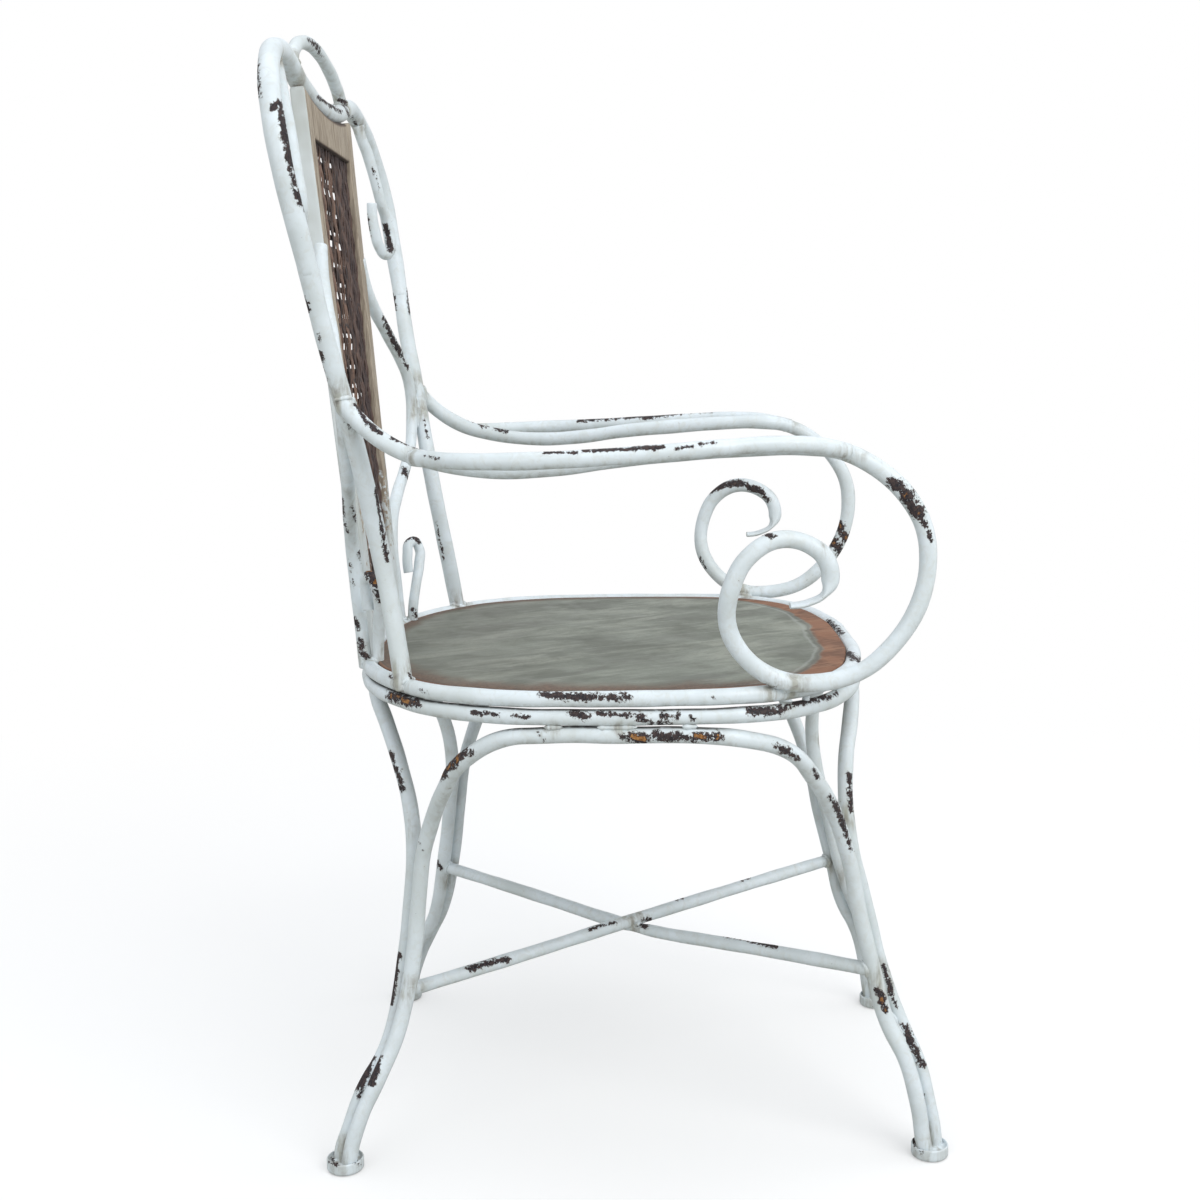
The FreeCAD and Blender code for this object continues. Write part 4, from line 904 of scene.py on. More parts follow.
# ------------------------------------------------------------------ tube pieces
BEADS = {
    "upright": lambda n, s: [weld_ring(n, 0, "seat_ring_upper", 0.0023, 11 + s)],
    "back_bracket": lambda n, s: [weld_ring(n, 1, "seat_ring_upper", 0.0019, 13 + s),
                                  weld_seam(n, n.replace("back_bracket", "upright"), lambda p: .640 < p.z < .682, (0, -1, 0), 0.0021, 14 + s),
                                  weld_seam(n, n.replace("back_bracket", "upright"), lambda p: .640 < p.z < .682, (0, 1, 0), 0.0021, 15 + s)],
    "seat_hook": lambda n, s: [weld_ring(n, 0, "seat_ring_upper", 0.0017, 17 + s, 0.03)],
    "arm_rail": lambda n, s: [weld_ring(n, 0, n.replace("arm_rail", "arm"), 0.0020, 21 + s), weld_ring(n, 1, n.replace("arm_rail", "arm"), 0.0020, 22 + s)],
    "back_scroll": lambda n, s: [weld_ring(n, 0, "back_crown", 0.0018, 23 + s, 0.05)],
    "crest_arch": lambda n, s: [weld_ring(n, 0, "back_crown", 0.0019, 25, 0.06), weld_ring(n, 1, "back_crown", 0.0019, 26, 0.06)],
    "brace_upper": lambda n, s: [weld_ring(n, 0, "leg_arch_right", 0.0020, 27), weld_ring(n, 1, "leg_arch_left", 0.0020, 28),
                                 weld_ring(n, 0, "leg_arch_back", 0.0018, 29), weld_ring(n, 1, "leg_arch_front", 0.0018, 30)],
    "brace_lower": lambda n, s: [weld_ring(n, 0, "leg_arch_left", 0.0020, 31), weld_ring(n, 1, "leg_arch_right", 0.0020, 32),
                                 weld_ring(n, 0, "leg_arch_back", 0.0018, 33), weld_ring(n, 1, "leg_arch_front", 0.0018, 34)],
}


def near_cross(p):
    return 0.004 < math.hypot(p.x, p.y + 0.0035) < 0.017


def extra_beads(node, s):
    out = []
    if node.startswith("arm_") and not node.startswith("arm_rail"):
        up = node.replace("arm", "upright")
        out.append(weld_ring(node, 0, up, 0.0021, 41 + s, 0.06))
        sx = 1 if node.endswith("left") else -1
        out.append(weld_seam(node, "seat_ring_upper", lambda p: p.z < 0.470 and -0.178 < p.y < -0.118, (-sx, 0, 0.4), 0.0023, 43 + s))
        out.append(weld_seam(node, "seat_ring_upper", lambda p: p.z < 0.470 and -0.160 < p.y < -0.130, (sx, 0, 0.2), 0.0021, 45 + s))
    if node in ("leg_arch_left", "leg_arch_right"):
        sx = 1 if node.endswith("left") else -1
        for y0, y1 in ((-.012, .022), (.048, .066), (-.060, -.046)):
            out.append(weld_seam(node, "seat_ring_lower", lambda p, a=y0, b=y1: a < p.y < b and p.z > .40, (sx, 0, 0), 0.0022, 51 + s))
        out.append(weld_seam(node, "seat_ring_lower", lambda p: .0 < p.y < .045 and p.z > .40, (-sx, 0, 0), 0.0022, 52 + s))
        out.append(weld_seam(node, "leg_arch_back", lambda p: p.y > 0 and .262 < p.z < .300, (sx, .2, 0), 0.0021, 53 + s))
        out.append(weld_seam(node, "leg_arch_back", lambda p: p.y > 0 and .100 < p.z < .128, (sx, .2, 0), 0.0021, 54 + s))
        out.append(weld_seam(node, "leg_arch_front", lambda p: p.y < 0 and .262 < p.z < .300, (sx, -.2, 0), 0.0021, 55 + s))
        out.append(weld_seam(node, "leg_arch_front", lambda p: p.y < 0 and .100 < p.z < .128, (sx, -.2, 0), 0.0021, 56 + s))
    if node in ("leg_arch_front", "leg_arch_back"):
        sy = -1 if node.endswith("front") else 1
        for x0, x1 in ((-.030, -.008), (.012, .036)):
            out.append(weld_seam(node, "seat_ring_lower", lambda p, a=x0, b=x1: a < p.x < b and p.z > .39, (0, sy, 0), 0.0021, 61 + s))
    if node == "brace_upper":
        for sd in ((0.6, -0.4, 0), (-0.6, 0.4, 0)):
            out.append(weld_seam(node, "brace_lower", lambda p: abs(p.x) < 0.010, (sd[0], sd[1], 0), 0.0024, 71, 0.9))
    return out


def build_tube(node, seed):
    pts = ROUTE[node]
    r = radius_of(node)
    closed = node.startswith("seat_ring")
    cap = ("round", "round")
    kw = {}
    up = None
    parts = []
    sx = -1 if node.endswith("right") else 1
    if node.startswith("back_scroll"):
        cap = ("round", "open")
    if node.startswith("seat_hook"):
        cap = ("round", "open")
    if node.startswith("leg_arch"):
        cap = ("flat", "flat")
    if node.startswith("back_bracket"):
        cap = ("flat", "round")
    if node == "brace_lower":
        # crimped under the upper brace
        def shape(t, s, L):
            k = math.exp(-((s - L * 0.5) / 0.013) ** 2)
            return 0.0062 * (1 + 0.22 * k), 0.0062 * (1 - 0.34 * k)
        kw = {"shape": shape, "up": Vector((1, -1.4, 0))}
    if node == "back_crown":
        # the wider crown tube is pushed on the uprights and filed down to them
        def shape(t, s, L):
            u = min(s, L - s) - 0.006
            rr = 0.00785 + 0.00013 * min(max(u + 0.006, 0) / 0.006, 1) + 0.00072 * float(smooth(-0.002, 0.034, u))
            return rr, rr
        kw = {"shape": shape}
        d0, d1 = (pts[0] - pts[1]).normalized(), (pts[-1] - pts[-2]).normalized()
        pts = [pts[0] + d0 * 0.006, pts[0] + d0 * 0.003] + list(pts) + [pts[-1] + d1 * 0.003, pts[-1] + d1 * 0.006]
    if node.startswith("upright_"):
        d1 = (pts[-1] - pts[-2]).normalized()

        def shape(t, s, L):
            rr = 0.008 - 0.00022 * float(smooth(L - 0.009, L, s))
            return rr, rr
        kw = {"shape": shape}
        pts = list(pts) + [pts[-1] + d1 * 0.003, pts[-1] + d1 * 0.006]
    parts.append(tube_mesh(pts, r, closed=closed, cap=cap, seed=seed, **kw) if not (node.startswith("arm_") and not node.startswith("arm_rail"))
                 else arm_mesh(pts, r, sx, seed))
    key = [k for k in BEADS if node.startswith(k)]
    if node.startswith("arm_rail"):
        key = ["arm_rail"]
    for k in key:
        parts += BEADS[k](node, 100 * (sx < 0))
    parts += extra_beads(node, 100 * (sx < 0))
    co, faces = join_parts(*parts)
    if node in ("leg_arch_left", "leg_arch_right", "leg_arch_front", "leg_arch_back"):
        co[:, 2] = np.maximum(co[:, 2], 0.0046)
    dens = 1.0
    return add_mesh(node + "_tube", co, faces, PAINT, (node,), wear_name=node, seed=seed, density=dens)


def arm_mesh(pts, r, sx, seed):
    """the arm tube running on into its flattened end"""
    strip = [Vector((p.x * sx, p.y, p.z)) for p in R["strip"]]
    tail = route(strip, first=(pts[-1] - pts[-2]).normalized(), step=0.0012)
    allp = pts + tail[1:]
    s_flat = sum((b - a).length for a, b in zip(pts, pts[1:]))

    def shape(t, s, L):
        k = float(smooth(s_flat - 0.002, s_flat + 0.014, s))
        return r * (1 - k) + 0.0095 * k, r * (1 - k) + 0.0025 * k
    # the frame's X stays across the scroll, so the flat is wide along the scroll axis
    T, X, Y = frames(allp)
    end = X[-1]
    want = Vector((1, 0, 0)) - T[-1] * T[-1].x
    want.normalize()
    ang = math.atan2(end.cross(want).dot(T[-1]), end.dot(want))
    up = Matrix.Rotation(ang, 3, T[0]) @ X[0]
    co, fa = tube_mesh(allp, r, shape=shape, cap=("round", "flat"), seed=seed, up=up, segs=28)
    return co, fa


seeds = {}
for k, node in enumerate(sorted(ROUTE)):
    seeds[node] = 500 + k
    build_tube(node, 500 + k)


# ------------------------------------------------------------------ foot cups
def lathe(profile, centre, segs=48, seed=0):
    rng = np.random.default_rng(seed)
    ph = rng.uniform(0, 6.28, 3)
    co, faces = [], []
    n = len(profile)
    for j in range(segs):
        a = 2 * math.pi * j / segs
        dent = 1 + 0.006 * math.sin(3 * a + ph[0]) + 0.004 * math.sin(7 * a + ph[1])
        for r, z in profile:
            rr = min(r * dent, 0.01652) if r > 0.014 else r * dent
            co.append((centre[0] + rr * math.cos(a), centre[1] + rr * math.sin(a), max(z, 0.0)))
    for j in range(segs):
        k = (j + 1) % segs
        for i in range(n - 1):
            faces.append((j * n + i, k * n + i, k * n + i + 1, j * n + i + 1))
    return np.array(co), faces


CUP = [(0.0005, 0.0), (0.009, 0.0), (0.0146, 0.0001), (0.0158, 0.0006), (0.01645, 0.0017), (0.0165, 0.0035), (0.01645, 0.0065), (0.0165, 0.0088),
       (0.0164, 0.0100), (0.0160, 0.0107), (0.0154, 0.0109), (0.0150, 0.0104), (0.0149, 0.0090), (0.0145, 0.0080), (0.011, 0.0083), (0.0070, 0.0088), (0.0005, 0.0089)]
for node, x, y in (("foot_back_left", .19035, .2545), ("foot_back_right", -.19035, .2545), ("foot_front_left", .16705, -.2696),
                   ("foot_front_right", -.16705, -.2696)):
    co, faces = lathe(CUP, (x, y), seed=len(node))
    add_mesh(node + "_cup", co, faces, PAINT, (node,), wear_name=node, seed=900 + len(node) + int(x > 0), density=3.0)


# ------------------------------------------------------------------ seat sheet
def seat():
    ring = ring_flat
    n = len(ring)
    c = np.array([[p.x, p.y] for p in ring])
    nx = np.roll(c, -1, 0) - np.roll(c, 1, 0)
    nx /= np.linalg.norm(nx, axis=1)[:, None]
    inward = np.stack([-nx[:, 1], nx[:, 0]], 1)
    mid = np.array([0.0, 0.014])
    if ((mid - c[0]) @ inward[0]) < 0:
        inward = -inward
    rim = c + inward * 0.00695
    # thin the rim to an even spacing
    idx = np.linspace(0, n, 420, endpoint=False).astype(int)
    rim, inw = rim[idx], inward[idx]
    n = len(rim)
    ZT = 0.4466
    rng = np.random.default_rng(4)
    dents = [(rng.uniform(-.2, .2), rng.uniform(-.16, .18), rng.uniform(.025, .07), rng.uniform(-.00055, .00018)) for _ in range(26)]

    def top_z(xy):
        z = np.zeros(len(xy))
        for dx, dy, r, h in dents:
            z += h * np.exp(-(((xy[:, 0] - dx) ** 2 + (xy[:, 1] - dy) ** 2) / (r * r)))
        return np.clip(z, -0.0012, 0.0)
    co, loops, dist = [], [], []
    fr = np.concatenate([np.linspace(0.02, 0.86, 46), np.linspace(0.875, 0.985, 12)])
    inner_rim = rim + inw * 0.0016
    for f in fr:
        xy = mid + (inner_rim - mid) * f
        d = np.linalg.norm(inner_rim - mid, axis=1) * (1 - f)
        z = ZT + top_z(xy) * smooth(0.0, 0.02, d)
        loops.append((xy, z))
        dist.append(d + 0.001)
    for dxy, dz in ((0.0016, 0), (0.0010, -0.00008), (0.0005, -0.00035), (0.00012, -0.0008), (0.0, -0.0014), (0.0, -0.0046), (0.0002, -0.0050),
                    (0.0018, -0.0050), (0.0020, -0.0046), (0.0020, -0.0021)):
        loops.append((rim + inw * dxy, np.full(n, ZT + dz)))
        dist.append(np.full(n, 0.0))
    for f in (0.98, 0.8, 0.5, 0.2, 0.02):
        xy = mid + ((rim + inw * 0.0022) - mid) * f
        z = ZT - 0.0020 + top_z(xy) * (0 if f > .9 else 1)
        loops.append((xy, z))
        dist.append(np.linalg.norm(rim - mid, axis=1) * (1 - f))
    for xy, z in loops:
        co.append(np.column_stack([xy, z]))
    co = np.concatenate(co)
    dist = np.concatenate(dist)
    faces = []
    for k in range(len(loops) - 1):
        for j in range(n):
            m = (j + 1) % n
            faces.append((k * n + j, k * n + m, (k + 1) * n + m, (k + 1) * n + j))
    a = len(co)
    co = np.vstack([co, [mid[0], mid[1], ZT + float(top_z(np.array([mid]))[0])], [mid[0], mid[1], ZT - 0.002 + float(top_z(np.array([mid]))[0])]])
    dist = np.append(dist, [0.2, 0.2])
    L = (len(loops) - 1) * n
    for j in range(n):
        m = (j + 1) % n
        faces.append((a, m, j))
        faces.append((L + j, L + m, a + 1))
    rust = np.clip(1.12 - dist / 0.036, 0, 1) * smooth(-0.085, -0.150, co[:, 1])
    rust = np.maximum(rust, np.clip(1.0 - dist / 0.022, 0, 1) * smooth(0.02, -0.09, co[:, 1]) * 0.75)
    rust = np.maximum(rust, np.clip(1.0 - dist / 0.016, 0, 1) * 0.55)
    # a face that looks up from below the sheet's mid height means the winding is reversed; the mesh tool settles it
    me_co = co
    ob = add_mesh("seat_sheet_plate", me_co, faces, SEAT, ("seat_sheet",), attrs={"edge": dist * 10.0, "rust": rust})
    fix_normals(ob)
    return ob


def fix_normals(ob):
    bm = bmesh.new()
    bm.from_mesh(ob.data)
    bmesh.ops.recalc_face_normals(bm, faces=bm.faces)
    bm.to_mesh(ob.data)
    bm.free()


seat()


# -------------------------------------------------------- tacks and spacers
TACKS = [(0, 239), (146, 218), (243, 130), (261, 30), (254, -90), (212, -164), (92, -207), (-92, -207), (-212, -164), (-254, -90), (-261, 30),
         (-243, 130), (-146, 218)]
parts = []
for k, (x, y) in enumerate(TACKS):
    n = Vector((x, y - 14, 0)).normalized()
    tg = Vector((-n.y, n.x, 0))
    c = Vector((x, y, 0)) * 0.001 - n * 0.0082 + Vector((0, 0, 0.4396))
    parts.append(bead_tube([c + tg * t for t in np.linspace(-0.0042, 0.0042, 9)], 0.0020, 40 + k, False))
co, faces = join_parts(*parts)
ob = add_mesh("seat_tacks_beads", co, faces, PAINT, ("seat_tacks",), wear_name="seat_tacks", seed=77)
parts = []
for k, (x, y, z) in enumerate(((.226, -.150, .4332), (0, -.211, .4332), (-.226, -.150, .4332))):
    parts.append(bead_tube([V(x, y, z + t) for t in np.linspace(-0.0036, 0.0036, 6)], 0.0030, 60 + k, True if False else False))
co, faces = join_parts(*parts)
add_mesh("ring_spacers_lumps", co, faces, PAINT, ("ring_spacers",), wear_name="ring_spacers", seed=78)


# ------------------------------------------------------------------ back splat
prof = route(R["splat"], step=0.002)
PZ = np.array([p.z for p in prof])
PY = np.array([p.y for p in prof])


def mid_y(z):
    return np.interp(z, PZ, PY)


def normal_at(z):
    d = (mid_y(z + 0.004) - mid_y(z - 0.004)) / 0.008
    n = np.array([0.0, -1.0, d])
    return n / np.linalg.norm(n)


def x_out(z):
    return 0.0813 + (z - 0.440) * 0.0568


def x_in(z):
    return x_out(z) - 0.0230


# top edge of the boards against the distance from the middle
CROWN_X = [0, .025, .050, .075, .092, .115]
CROWN_Z = [.9353, .9358, .9374, .9406, .9435, .9480]


def top_at(x):
    return np.interp(np.abs(x), CROWN_X, CROWN_Z)


def board_mesh(zs, lo, hi, thick, rnd=0.0016, across=4):
    """board that follows the curved back: x runs from lo(z) to hi(z), rounded at every long edge"""
    sec = []
    for cx, cy, a0 in ((1, 1, 0), (-1, 1, 90), (-1, -1, 180), (1, -1, 270)):
        for a in (0, 22.5, 45, 67.5, 90):
            t = math.radians(a0 + a)
            sec.append((cx, cy, math.cos(t), math.sin(t)))
    # extra points along the faces keep the shading even
    full = []
    m = len(sec)
    for i in range(m):
        full.append(("corner",) + sec[i])
        if i % 5 == 4:
            a, b = sec[i], sec[(i + 1) % m]
            for f in np.linspace(0, 1, (across if i % 10 == 4 else 4) + 1)[1:-1]:
                full.append(("side", a, b, f))
    co, faces = [], []
    ns = len(full)
    nz = len(zs)
    for k, z in enumerate(zs):
        x0, x1 = lo(z), hi(z)
        e = 0.0
        end = min(k, nz - 1 - k)
        e = {0: 0.0014, 1: 0.0006, 2: 0.00015}.get(end, 0.0)
        h = thick / 2 - e
        x0, x1 = x0 + e, x1 - e
        r = min(rnd, (x1 - x0) / 2.2)
        nrm = normal_at(z)
        base = np.array([0.0, mid_y(z), z])

        def corner(cx, cy, c, s):
            x = (x1 - r if cx > 0 else x0 + r) + c * r
            w = cy * (h - r) + s * r
            return base + np.array([x, 0, 0]) + nrm * w
        for f in full:
            if f[0] == "corner":
                co.append(corner(*f[1:]))
            else:
                co.append(corner(*f[1]) * (1 - f[3]) + corner(*f[2]) * f[3])
    for k in range(nz - 1):
        for i in range(ns):
            j = (i + 1) % ns
            faces.append((k * ns + i, k * ns + j, (k + 1) * ns + j, (k + 1) * ns + i))
    for base_i in (0, (nz - 1) * ns):
        co.append(np.mean(co[base_i:base_i + ns], axis=0))
        c = len(co) - 1
        for i in range(ns):
            faces.append((base_i + i, base_i + (i + 1) % ns, c))
    return np.array(co), faces


def z_run(a, b, step=0.004):
    inner = np.linspace(a + 0.0032, b - 0.0032, max(4, int((b - a) / step)))
    return np.concatenate([[a, a + 0.0008, a + 0.0018], inner, [b - 0.0018, b - 0.0008, b]])


def under_crown(co, z0):
    """stretches the upper part of a board so that its top edge follows the sagging crown"""
    flat = co[:, 2].max()
    k = smooth(z0, flat, co[:, 2])
    k = np.where(co[:, 2] > z0, (co[:, 2] - z0) / (flat - z0), 0.0)
    co = co.copy()
    new_z = co[:, 2] + k * (top_at(co[:, 0]) - flat)
    co[:, 1] += mid_y(new_z) - mid_y(co[:, 2])
    co[:, 2] = new_z
    return co


WOOD_ACROSS = wood_material("greyed_timber_rail", "z")
for side, sx in (("left", 1), ("right", -1)):
    zs = z_run(.4474, .9440)
    if sx > 0:
        co, faces = board_mesh(zs, lambda z: x_in(z), lambda z: x_out(z), 0.013)
    else:
        co, faces = board_mesh(zs, lambda z: -x_out(z), lambda z: -x_in(z), 0.013)
    co = under_crown(co, .905)
    # painted on the outer edge and towards the foot, bare on the face
    rel = (np.abs(co[:, 0]) - np.array([x_in(z) for z in co[:, 2]])) / 0.023
    g = (1 - smooth(0.447, 0.490, co[:, 2])) * 0.6
    ob = add_mesh("splat_stile_%s_board" % side, co, faces, WOOD_UP, ("splat_stile_" + side,),
                  attrs={"grime": g, "side": smooth(0.90, 0.985, rel), "low": (1 - smooth(0.50, 0.72, co[:, 2]))})
    fix_normals(ob)
gap = 0.00018
for nm, a, b in (("splat_top_rail", .905, .9395), ("splat_bottom_rail", .463, .505)):
    zs = z_run(a, b, 0.0025)
    co, faces = board_mesh(zs, lambda z: -x_in(z) + gap, lambda z: x_in(z) - gap, 0.0126, across=24)
    if nm == "splat_top_rail":
        co = under_crown(co, .905)
    g = (1 - smooth(0.463, 0.520, co[:, 2])) * 0.8
    if nm == "splat_top_rail":
        # painted shadow: near black along the lower edge over the recessed cane and along the top edge under the
        # sagging crown
        g = np.maximum(g, (1 - smooth(0.9052, 0.9080, co[:, 2])) * 1.3)
        top_edge = top_at(co[:, 0])
        g = np.maximum(g, smooth(-0.0042, -0.0006, co[:, 2] - top_edge) * 1.2)
    ob = add_mesh(nm + "_board", co, faces, WOOD_ACROSS, (nm,),
                  attrs={"grime": g, "side": np.zeros(len(co)), "low": (1 - smooth(0.50, 0.72, co[:, 2]))})
    fix_normals(ob)


# ------------------------------------------------------------- woven cane panel
def strand(points, nrm, across, wide, thick, segs=8):
    """flat strand: points, unit normals and unit across directions"""
    n = len(points)
    ang = np.linspace(0, 2 * math.pi, segs, endpoint=False)
    co = []
    for i in range(n):
        ca, sa = np.cos(ang), np.sin(ang)
        # superellipse keeps the strand flat with round edges
        u = np.sign(ca) * np.abs(ca) ** 0.7 * wide[i] / 2
        w = np.sign(sa) * np.abs(sa) ** 0.8 * thick / 2
        co.append(points[i] + np.outer(u, across[i]) + np.outer(w, nrm[i]))
    co = np.concatenate(co)
    faces = []
    for i in range(n - 1):
        for j in range(segs):
            m = (j + 1) % segs
            faces.append((i * segs + j, i * segs + m, (i + 1) * segs + m, (i + 1) * segs + j))
    faces.append(tuple(range(segs))[::-1])
    faces.append(tuple(range((n - 1) * segs, n * segs)))
    return co, faces


def woven():
    rng = np.random.default_rng(21)
    parts, tones, fars = [], [], []
    pitch = 0.0220        # from stake to stake at the top of the opening, two strands each
    back = 0.0015         # panel centre in front of the frame's middle
    full = x_in(.905)

    # from the top of the opening down: close rows, then a short and a long open line, close rows, a slit line
    opens, rows = [], []
    z = .9085
    cycle = (("solid", 3), ("slit", .0043), ("solid", 3), ("open", .0046), ("row", 1), ("open", .0066))
    first = True
    while z > .500:
        for kind, v in cycle:
            if kind in ("solid", "row"):
                for _ in range(v):
                    rows.append(z - 0.0022)
                    z -= 0.0044
            else:
                opens.append((z - v, z, "slit" if first else kind))
                z -= v
        first = False

    def spread(z):
        """half distance between the two strands of a stake, and their width"""
        k = 0.0
        for a, b, kind in opens:
            m = smooth(a - 0.0035, a + 0.0010, z) * (1 - smooth(b - 0.0010, b + 0.0035, z))
            k = max(k, m * (1.0 if kind == "open" else 0.25))
        return 0.0046 - 0.0010 * k, 0.0074 - 0.0012 * k

    stakes = [(k + 0.5) * pitch for k in range(-4, 4)]
    stakes += [k * pitch for k in (1, 2, 3)]
    for n, x0 in enumerate(stakes):
        pair_tone, pair_ph, wave = rng.uniform(0.0, 0.22) + (0.62 if n % 2 else 0.10), rng.uniform(0, 6.28), rng.uniform(0.85, 1.15)
        for side in (-1, 1):
            zs = np.linspace(.4990, .9110, 300)
            pts, nn, ac, wd = [], [], [], []
            ph, ph2 = rng.uniform(0, 6.28), pair_ph + side * 0.35
            extra = 0.85 if n >= 8 else 1.0
            for z in zs:
                nrm = normal_at(z)
                r = x_in(z) / full
                half, wide = spread(z)
                xx = (x0 + side * half * extra) * r + 0.0008 * math.sin(z * 47 + ph)
                dep = 0.00022 + 0.00056 * math.sin(z * 2 * math.pi / (0.0270 * wave) + ph2)
                pts.append(np.array([xx, mid_y(z), z]) + nrm * (back + dep - (0.0003 if n >= 8 else 0.0)))
                nn.append(nrm)
                ac.append(np.array([1.0, 0, 0]))
                wd.append(wide * r * (1 + 0.07 * math.sin(z * 260 + ph)))
            keep = [i for i, z in enumerate(zs) if abs(pts[i][0]) < x_in(z) + 0.001]
            if len(keep) < 8:
                continue
            a, b = keep[0], keep[-1] + 1
            p = strand(np.array(pts[a:b]), np.array(nn[a:b]), np.array(ac[a:b]), wd[a:b], 0.00115)
            parts.append(p)
            zz = p[0][:, 2]
            t_ = np.clip(pair_tone + 0.20 * np.sin(zz * 95 + ph) + 0.15 * np.sin(zz * 231 + ph2) + 0.14 * side, 0, 1)
            # painted shadow: strands darkened at the top of the opening under the top rail
            tones.append(t_ * (1 - 0.9 * smooth(.888, .903, zz)))
            fars.append(smooth(-0.012, 0.045, p[0][:, 0]))
    for row, z in enumerate(rows):
        if z > .9085 or z < .5015:
            continue
        ph = rng.uniform(0, 6.28)
        par = math.pi * (row % 2)
        xs = np.linspace(-x_in(z) - 0.0008, x_in(z) + 0.0008, 130)
        pts, nn, ac, wd = [], [], [], []
        for x in xs:
            zr = z + 0.00022 * math.sin(x * 70 + ph) + 0.00012 * math.sin(x * 190 + 2 * ph)
            nrm = normal_at(zr)
            off = -0.00045 + 0.00048 * math.cos(math.pi * (x / (pitch * x_in(z) / full) - 0.5) + par)
            pts.append(np.array([x, mid_y(zr), zr]) + nrm * (back + off))
            along = np.array([0.0, (mid_y(zr + 0.002) - mid_y(zr - 0.002)) / 0.004, 1.0])
            ac.append(along / np.linalg.norm(along))
            nn.append(nrm)
            wd.append(0.0052 + 0.0003 * math.sin(x * 210 + ph))
        p = strand(np.array(pts), np.array(nn), np.array(ac), wd, 0.00080)
        parts.append(p)
        tones.append(np.full(len(p[0]), rng.uniform(0.0, 0.30)))
        fars.append(smooth(-0.012, 0.045, p[0][:, 0]))
    co, faces = join_parts(*parts)
    ob = add_mesh("splat_woven_panel_cane", co, faces, CANE, ("splat_woven_panel",),
                  attrs={"tone": np.concatenate(tones), "far": np.concatenate(fars)})
    fix_normals(ob)


woven()


# -------------------------------------------------------------- studio set-up
def stage_mat():
    m, nt = new_mat("pale_floor")
    g = Net(nt)
    out = [n for n in nt.nodes if n.type == "OUTPUT_MATERIAL"][0]
    co = g.n("ShaderNodeTexCoord").outputs["Object"]
    r = g.n("ShaderNodeVectorMath", operation="LENGTH")
    g.link(co, r.inputs[0])
    mott = g.noise(co, 3.0, 3.0, 0.5)
    seen = g.n("ShaderNodeLightPath").outputs["Is Camera Ray"]
    bsdf = g.n("ShaderNodeBsdfPrincipled")
    # seen directly it is pale; the light it throws back up is that of a duller floor
    g.link(g.mix(seen, (0.430, 0.430, 0.400), g.mix(mott, (0.955, 0.955, 0.955), (0.975, 0.975, 0.975))), bsdf.inputs["Base Color"])
    bsdf.inputs["Roughness"].default_value = 0.75
    bsdf.inputs["Specular IOR Level"].default_value = 0.1
    em = g.n("ShaderNodeEmission")
    em.inputs["Color"].default_value = (1, 1, 1, 1)
    em.inputs["Strength"].default_value = WORLD
    mx = g.n("ShaderNodeMixShader")
    g.link(g.math("MULTIPLY", seen, g.ramp(r.outputs["Value"], 0.30, 1.9, 0.35, 1.0)), mx.inputs[0])
    g.link(bsdf.outputs[0], mx.inputs[1])
    g.link(em.outputs[0], mx.inputs[2])
    g.link(mx.outputs[0], out.inputs["Surface"])
    return m


WORLD = 1.0
bpy.context.scene.view_settings.view_transform = "Standard"
w = bpy.data.worlds.new("studio")
bpy.context.scene.world = w
w.use_nodes = True
wt = w.node_tree
for n in list(wt.nodes):
    if n.type != "OUTPUT_WORLD":
        wt.nodes.remove(n)
wg = Net(wt)
w_out = [n for n in wt.nodes if n.type == "OUTPUT_WORLD"][0]
sky = wg.n("ShaderNodeSeparateXYZ")
wg.link(wg.n("ShaderNodeTexCoord").outputs["Generated"], sky.inputs[0])
soft = wg.n("ShaderNodeBackground")
wg.link(wg.mix(wg.ramp(sky.outputs["Z"], 0.0, 0.9), (0.640, 0.648, 0.650), (0.880, 0.915, 0.955)), soft.inputs["Color"])
plain = wg.n("ShaderNodeBackground")
plain.inputs["Color"].default_value = (1.0, 1.0, 1.0, 1.0)
plain.inputs["Strength"].default_value = WORLD
w_mix = wg.n("ShaderNodeMixShader")
wg.link(wg.n("ShaderNodeLightPath").outputs["Is Camera Ray"], w_mix.inputs[0])
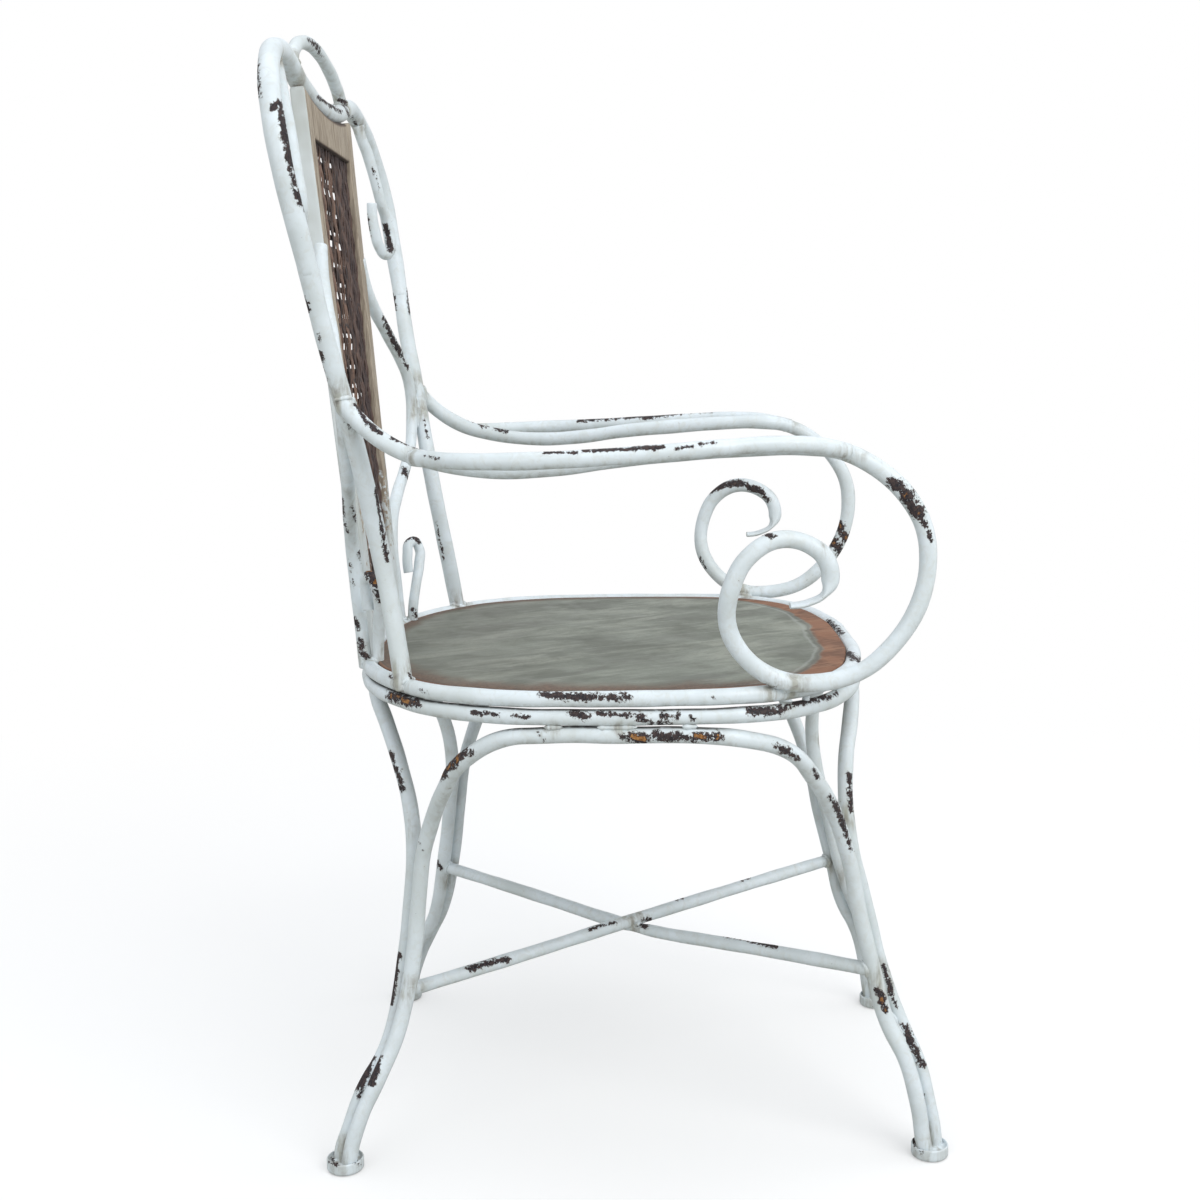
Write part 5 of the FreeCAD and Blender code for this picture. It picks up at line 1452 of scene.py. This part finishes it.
wg.link(soft.outputs[0], w_mix.inputs[1])
wg.link(plain.outputs[0], w_mix.inputs[2])
wg.link(w_mix.outputs[0], w_out.inputs["Surface"])

bm = bmesh.new()
bmesh.ops.create_circle(bm, cap_ends=True, segments=96, radius=30.0)
me = bpy.data.meshes.new("floor")
bm.to_mesh(me)
bm.free()
me.materials.append(stage_mat())
floor = bpy.data.objects.new("floor", me)
floor.location = (0, 0, -0.0004)
bpy.context.scene.collection.objects.link(floor)


def area(name, loc, target, size, power, colour=(1, 1, 1)):
    d = bpy.data.lights.new(name, "AREA")
    d.shape = "RECTANGLE"
    d.size, d.size_y = size
    d.energy = power
    d.color = colour
    o = bpy.data.objects.new(name, d)
    o.location = loc
    q = (Vector(target) - Vector(loc)).to_track_quat("-Z", "Y")
    o.rotation_euler = q.to_euler()
    bpy.context.scene.collection.objects.link(o)
    return o


area("key", (-1.7, -1.4, 2.0), (0, 0, .60), (1.6, 1.6), 31, (1.0, 0.990, 0.975))
area("front", (0.2, -2.8, 1.3), (0, 0, .5), (1.6, 1.6), 9)
area("near_fill", (-2.6, 1.6, 1.2), (0, 0, .6), (1.8, 1.8), 15)
area("top", (0.2, 0.3, 3.0), (0, 0, .4), (2.2, 2.2), 7)

cam = bpy.data.cameras.new("photo_view")
cam.sensor_fit = "HORIZONTAL"
cam.sensor_width = 36.0
cam.lens = FOCAL_PX / 1200.0 * 36.0
cam.clip_start = 0.05
cam.clip_end = 200
cam_ob = bpy.data.objects.new("photo_view", cam)
right, down, fwd = P2W.col[0], P2W.col[1], P2W.col[2]
c_, s_ = math.cos(ROLL), math.sin(ROLL)
rx = right * c_ + down * s_
dy = down * c_ - right * s_
cam_ob.matrix_world = Matrix(((rx.x, -dy.x, -fwd.x, CAM_POS.x), (rx.y, -dy.y, -fwd.y, CAM_POS.y), (rx.z, -dy.z, -fwd.z, CAM_POS.z), (0, 0, 0, 1)))
bpy.context.scene.collection.objects.link(cam_ob)
bpy.context.scene.camera = cam_ob
bpy.context.view_layer.update()
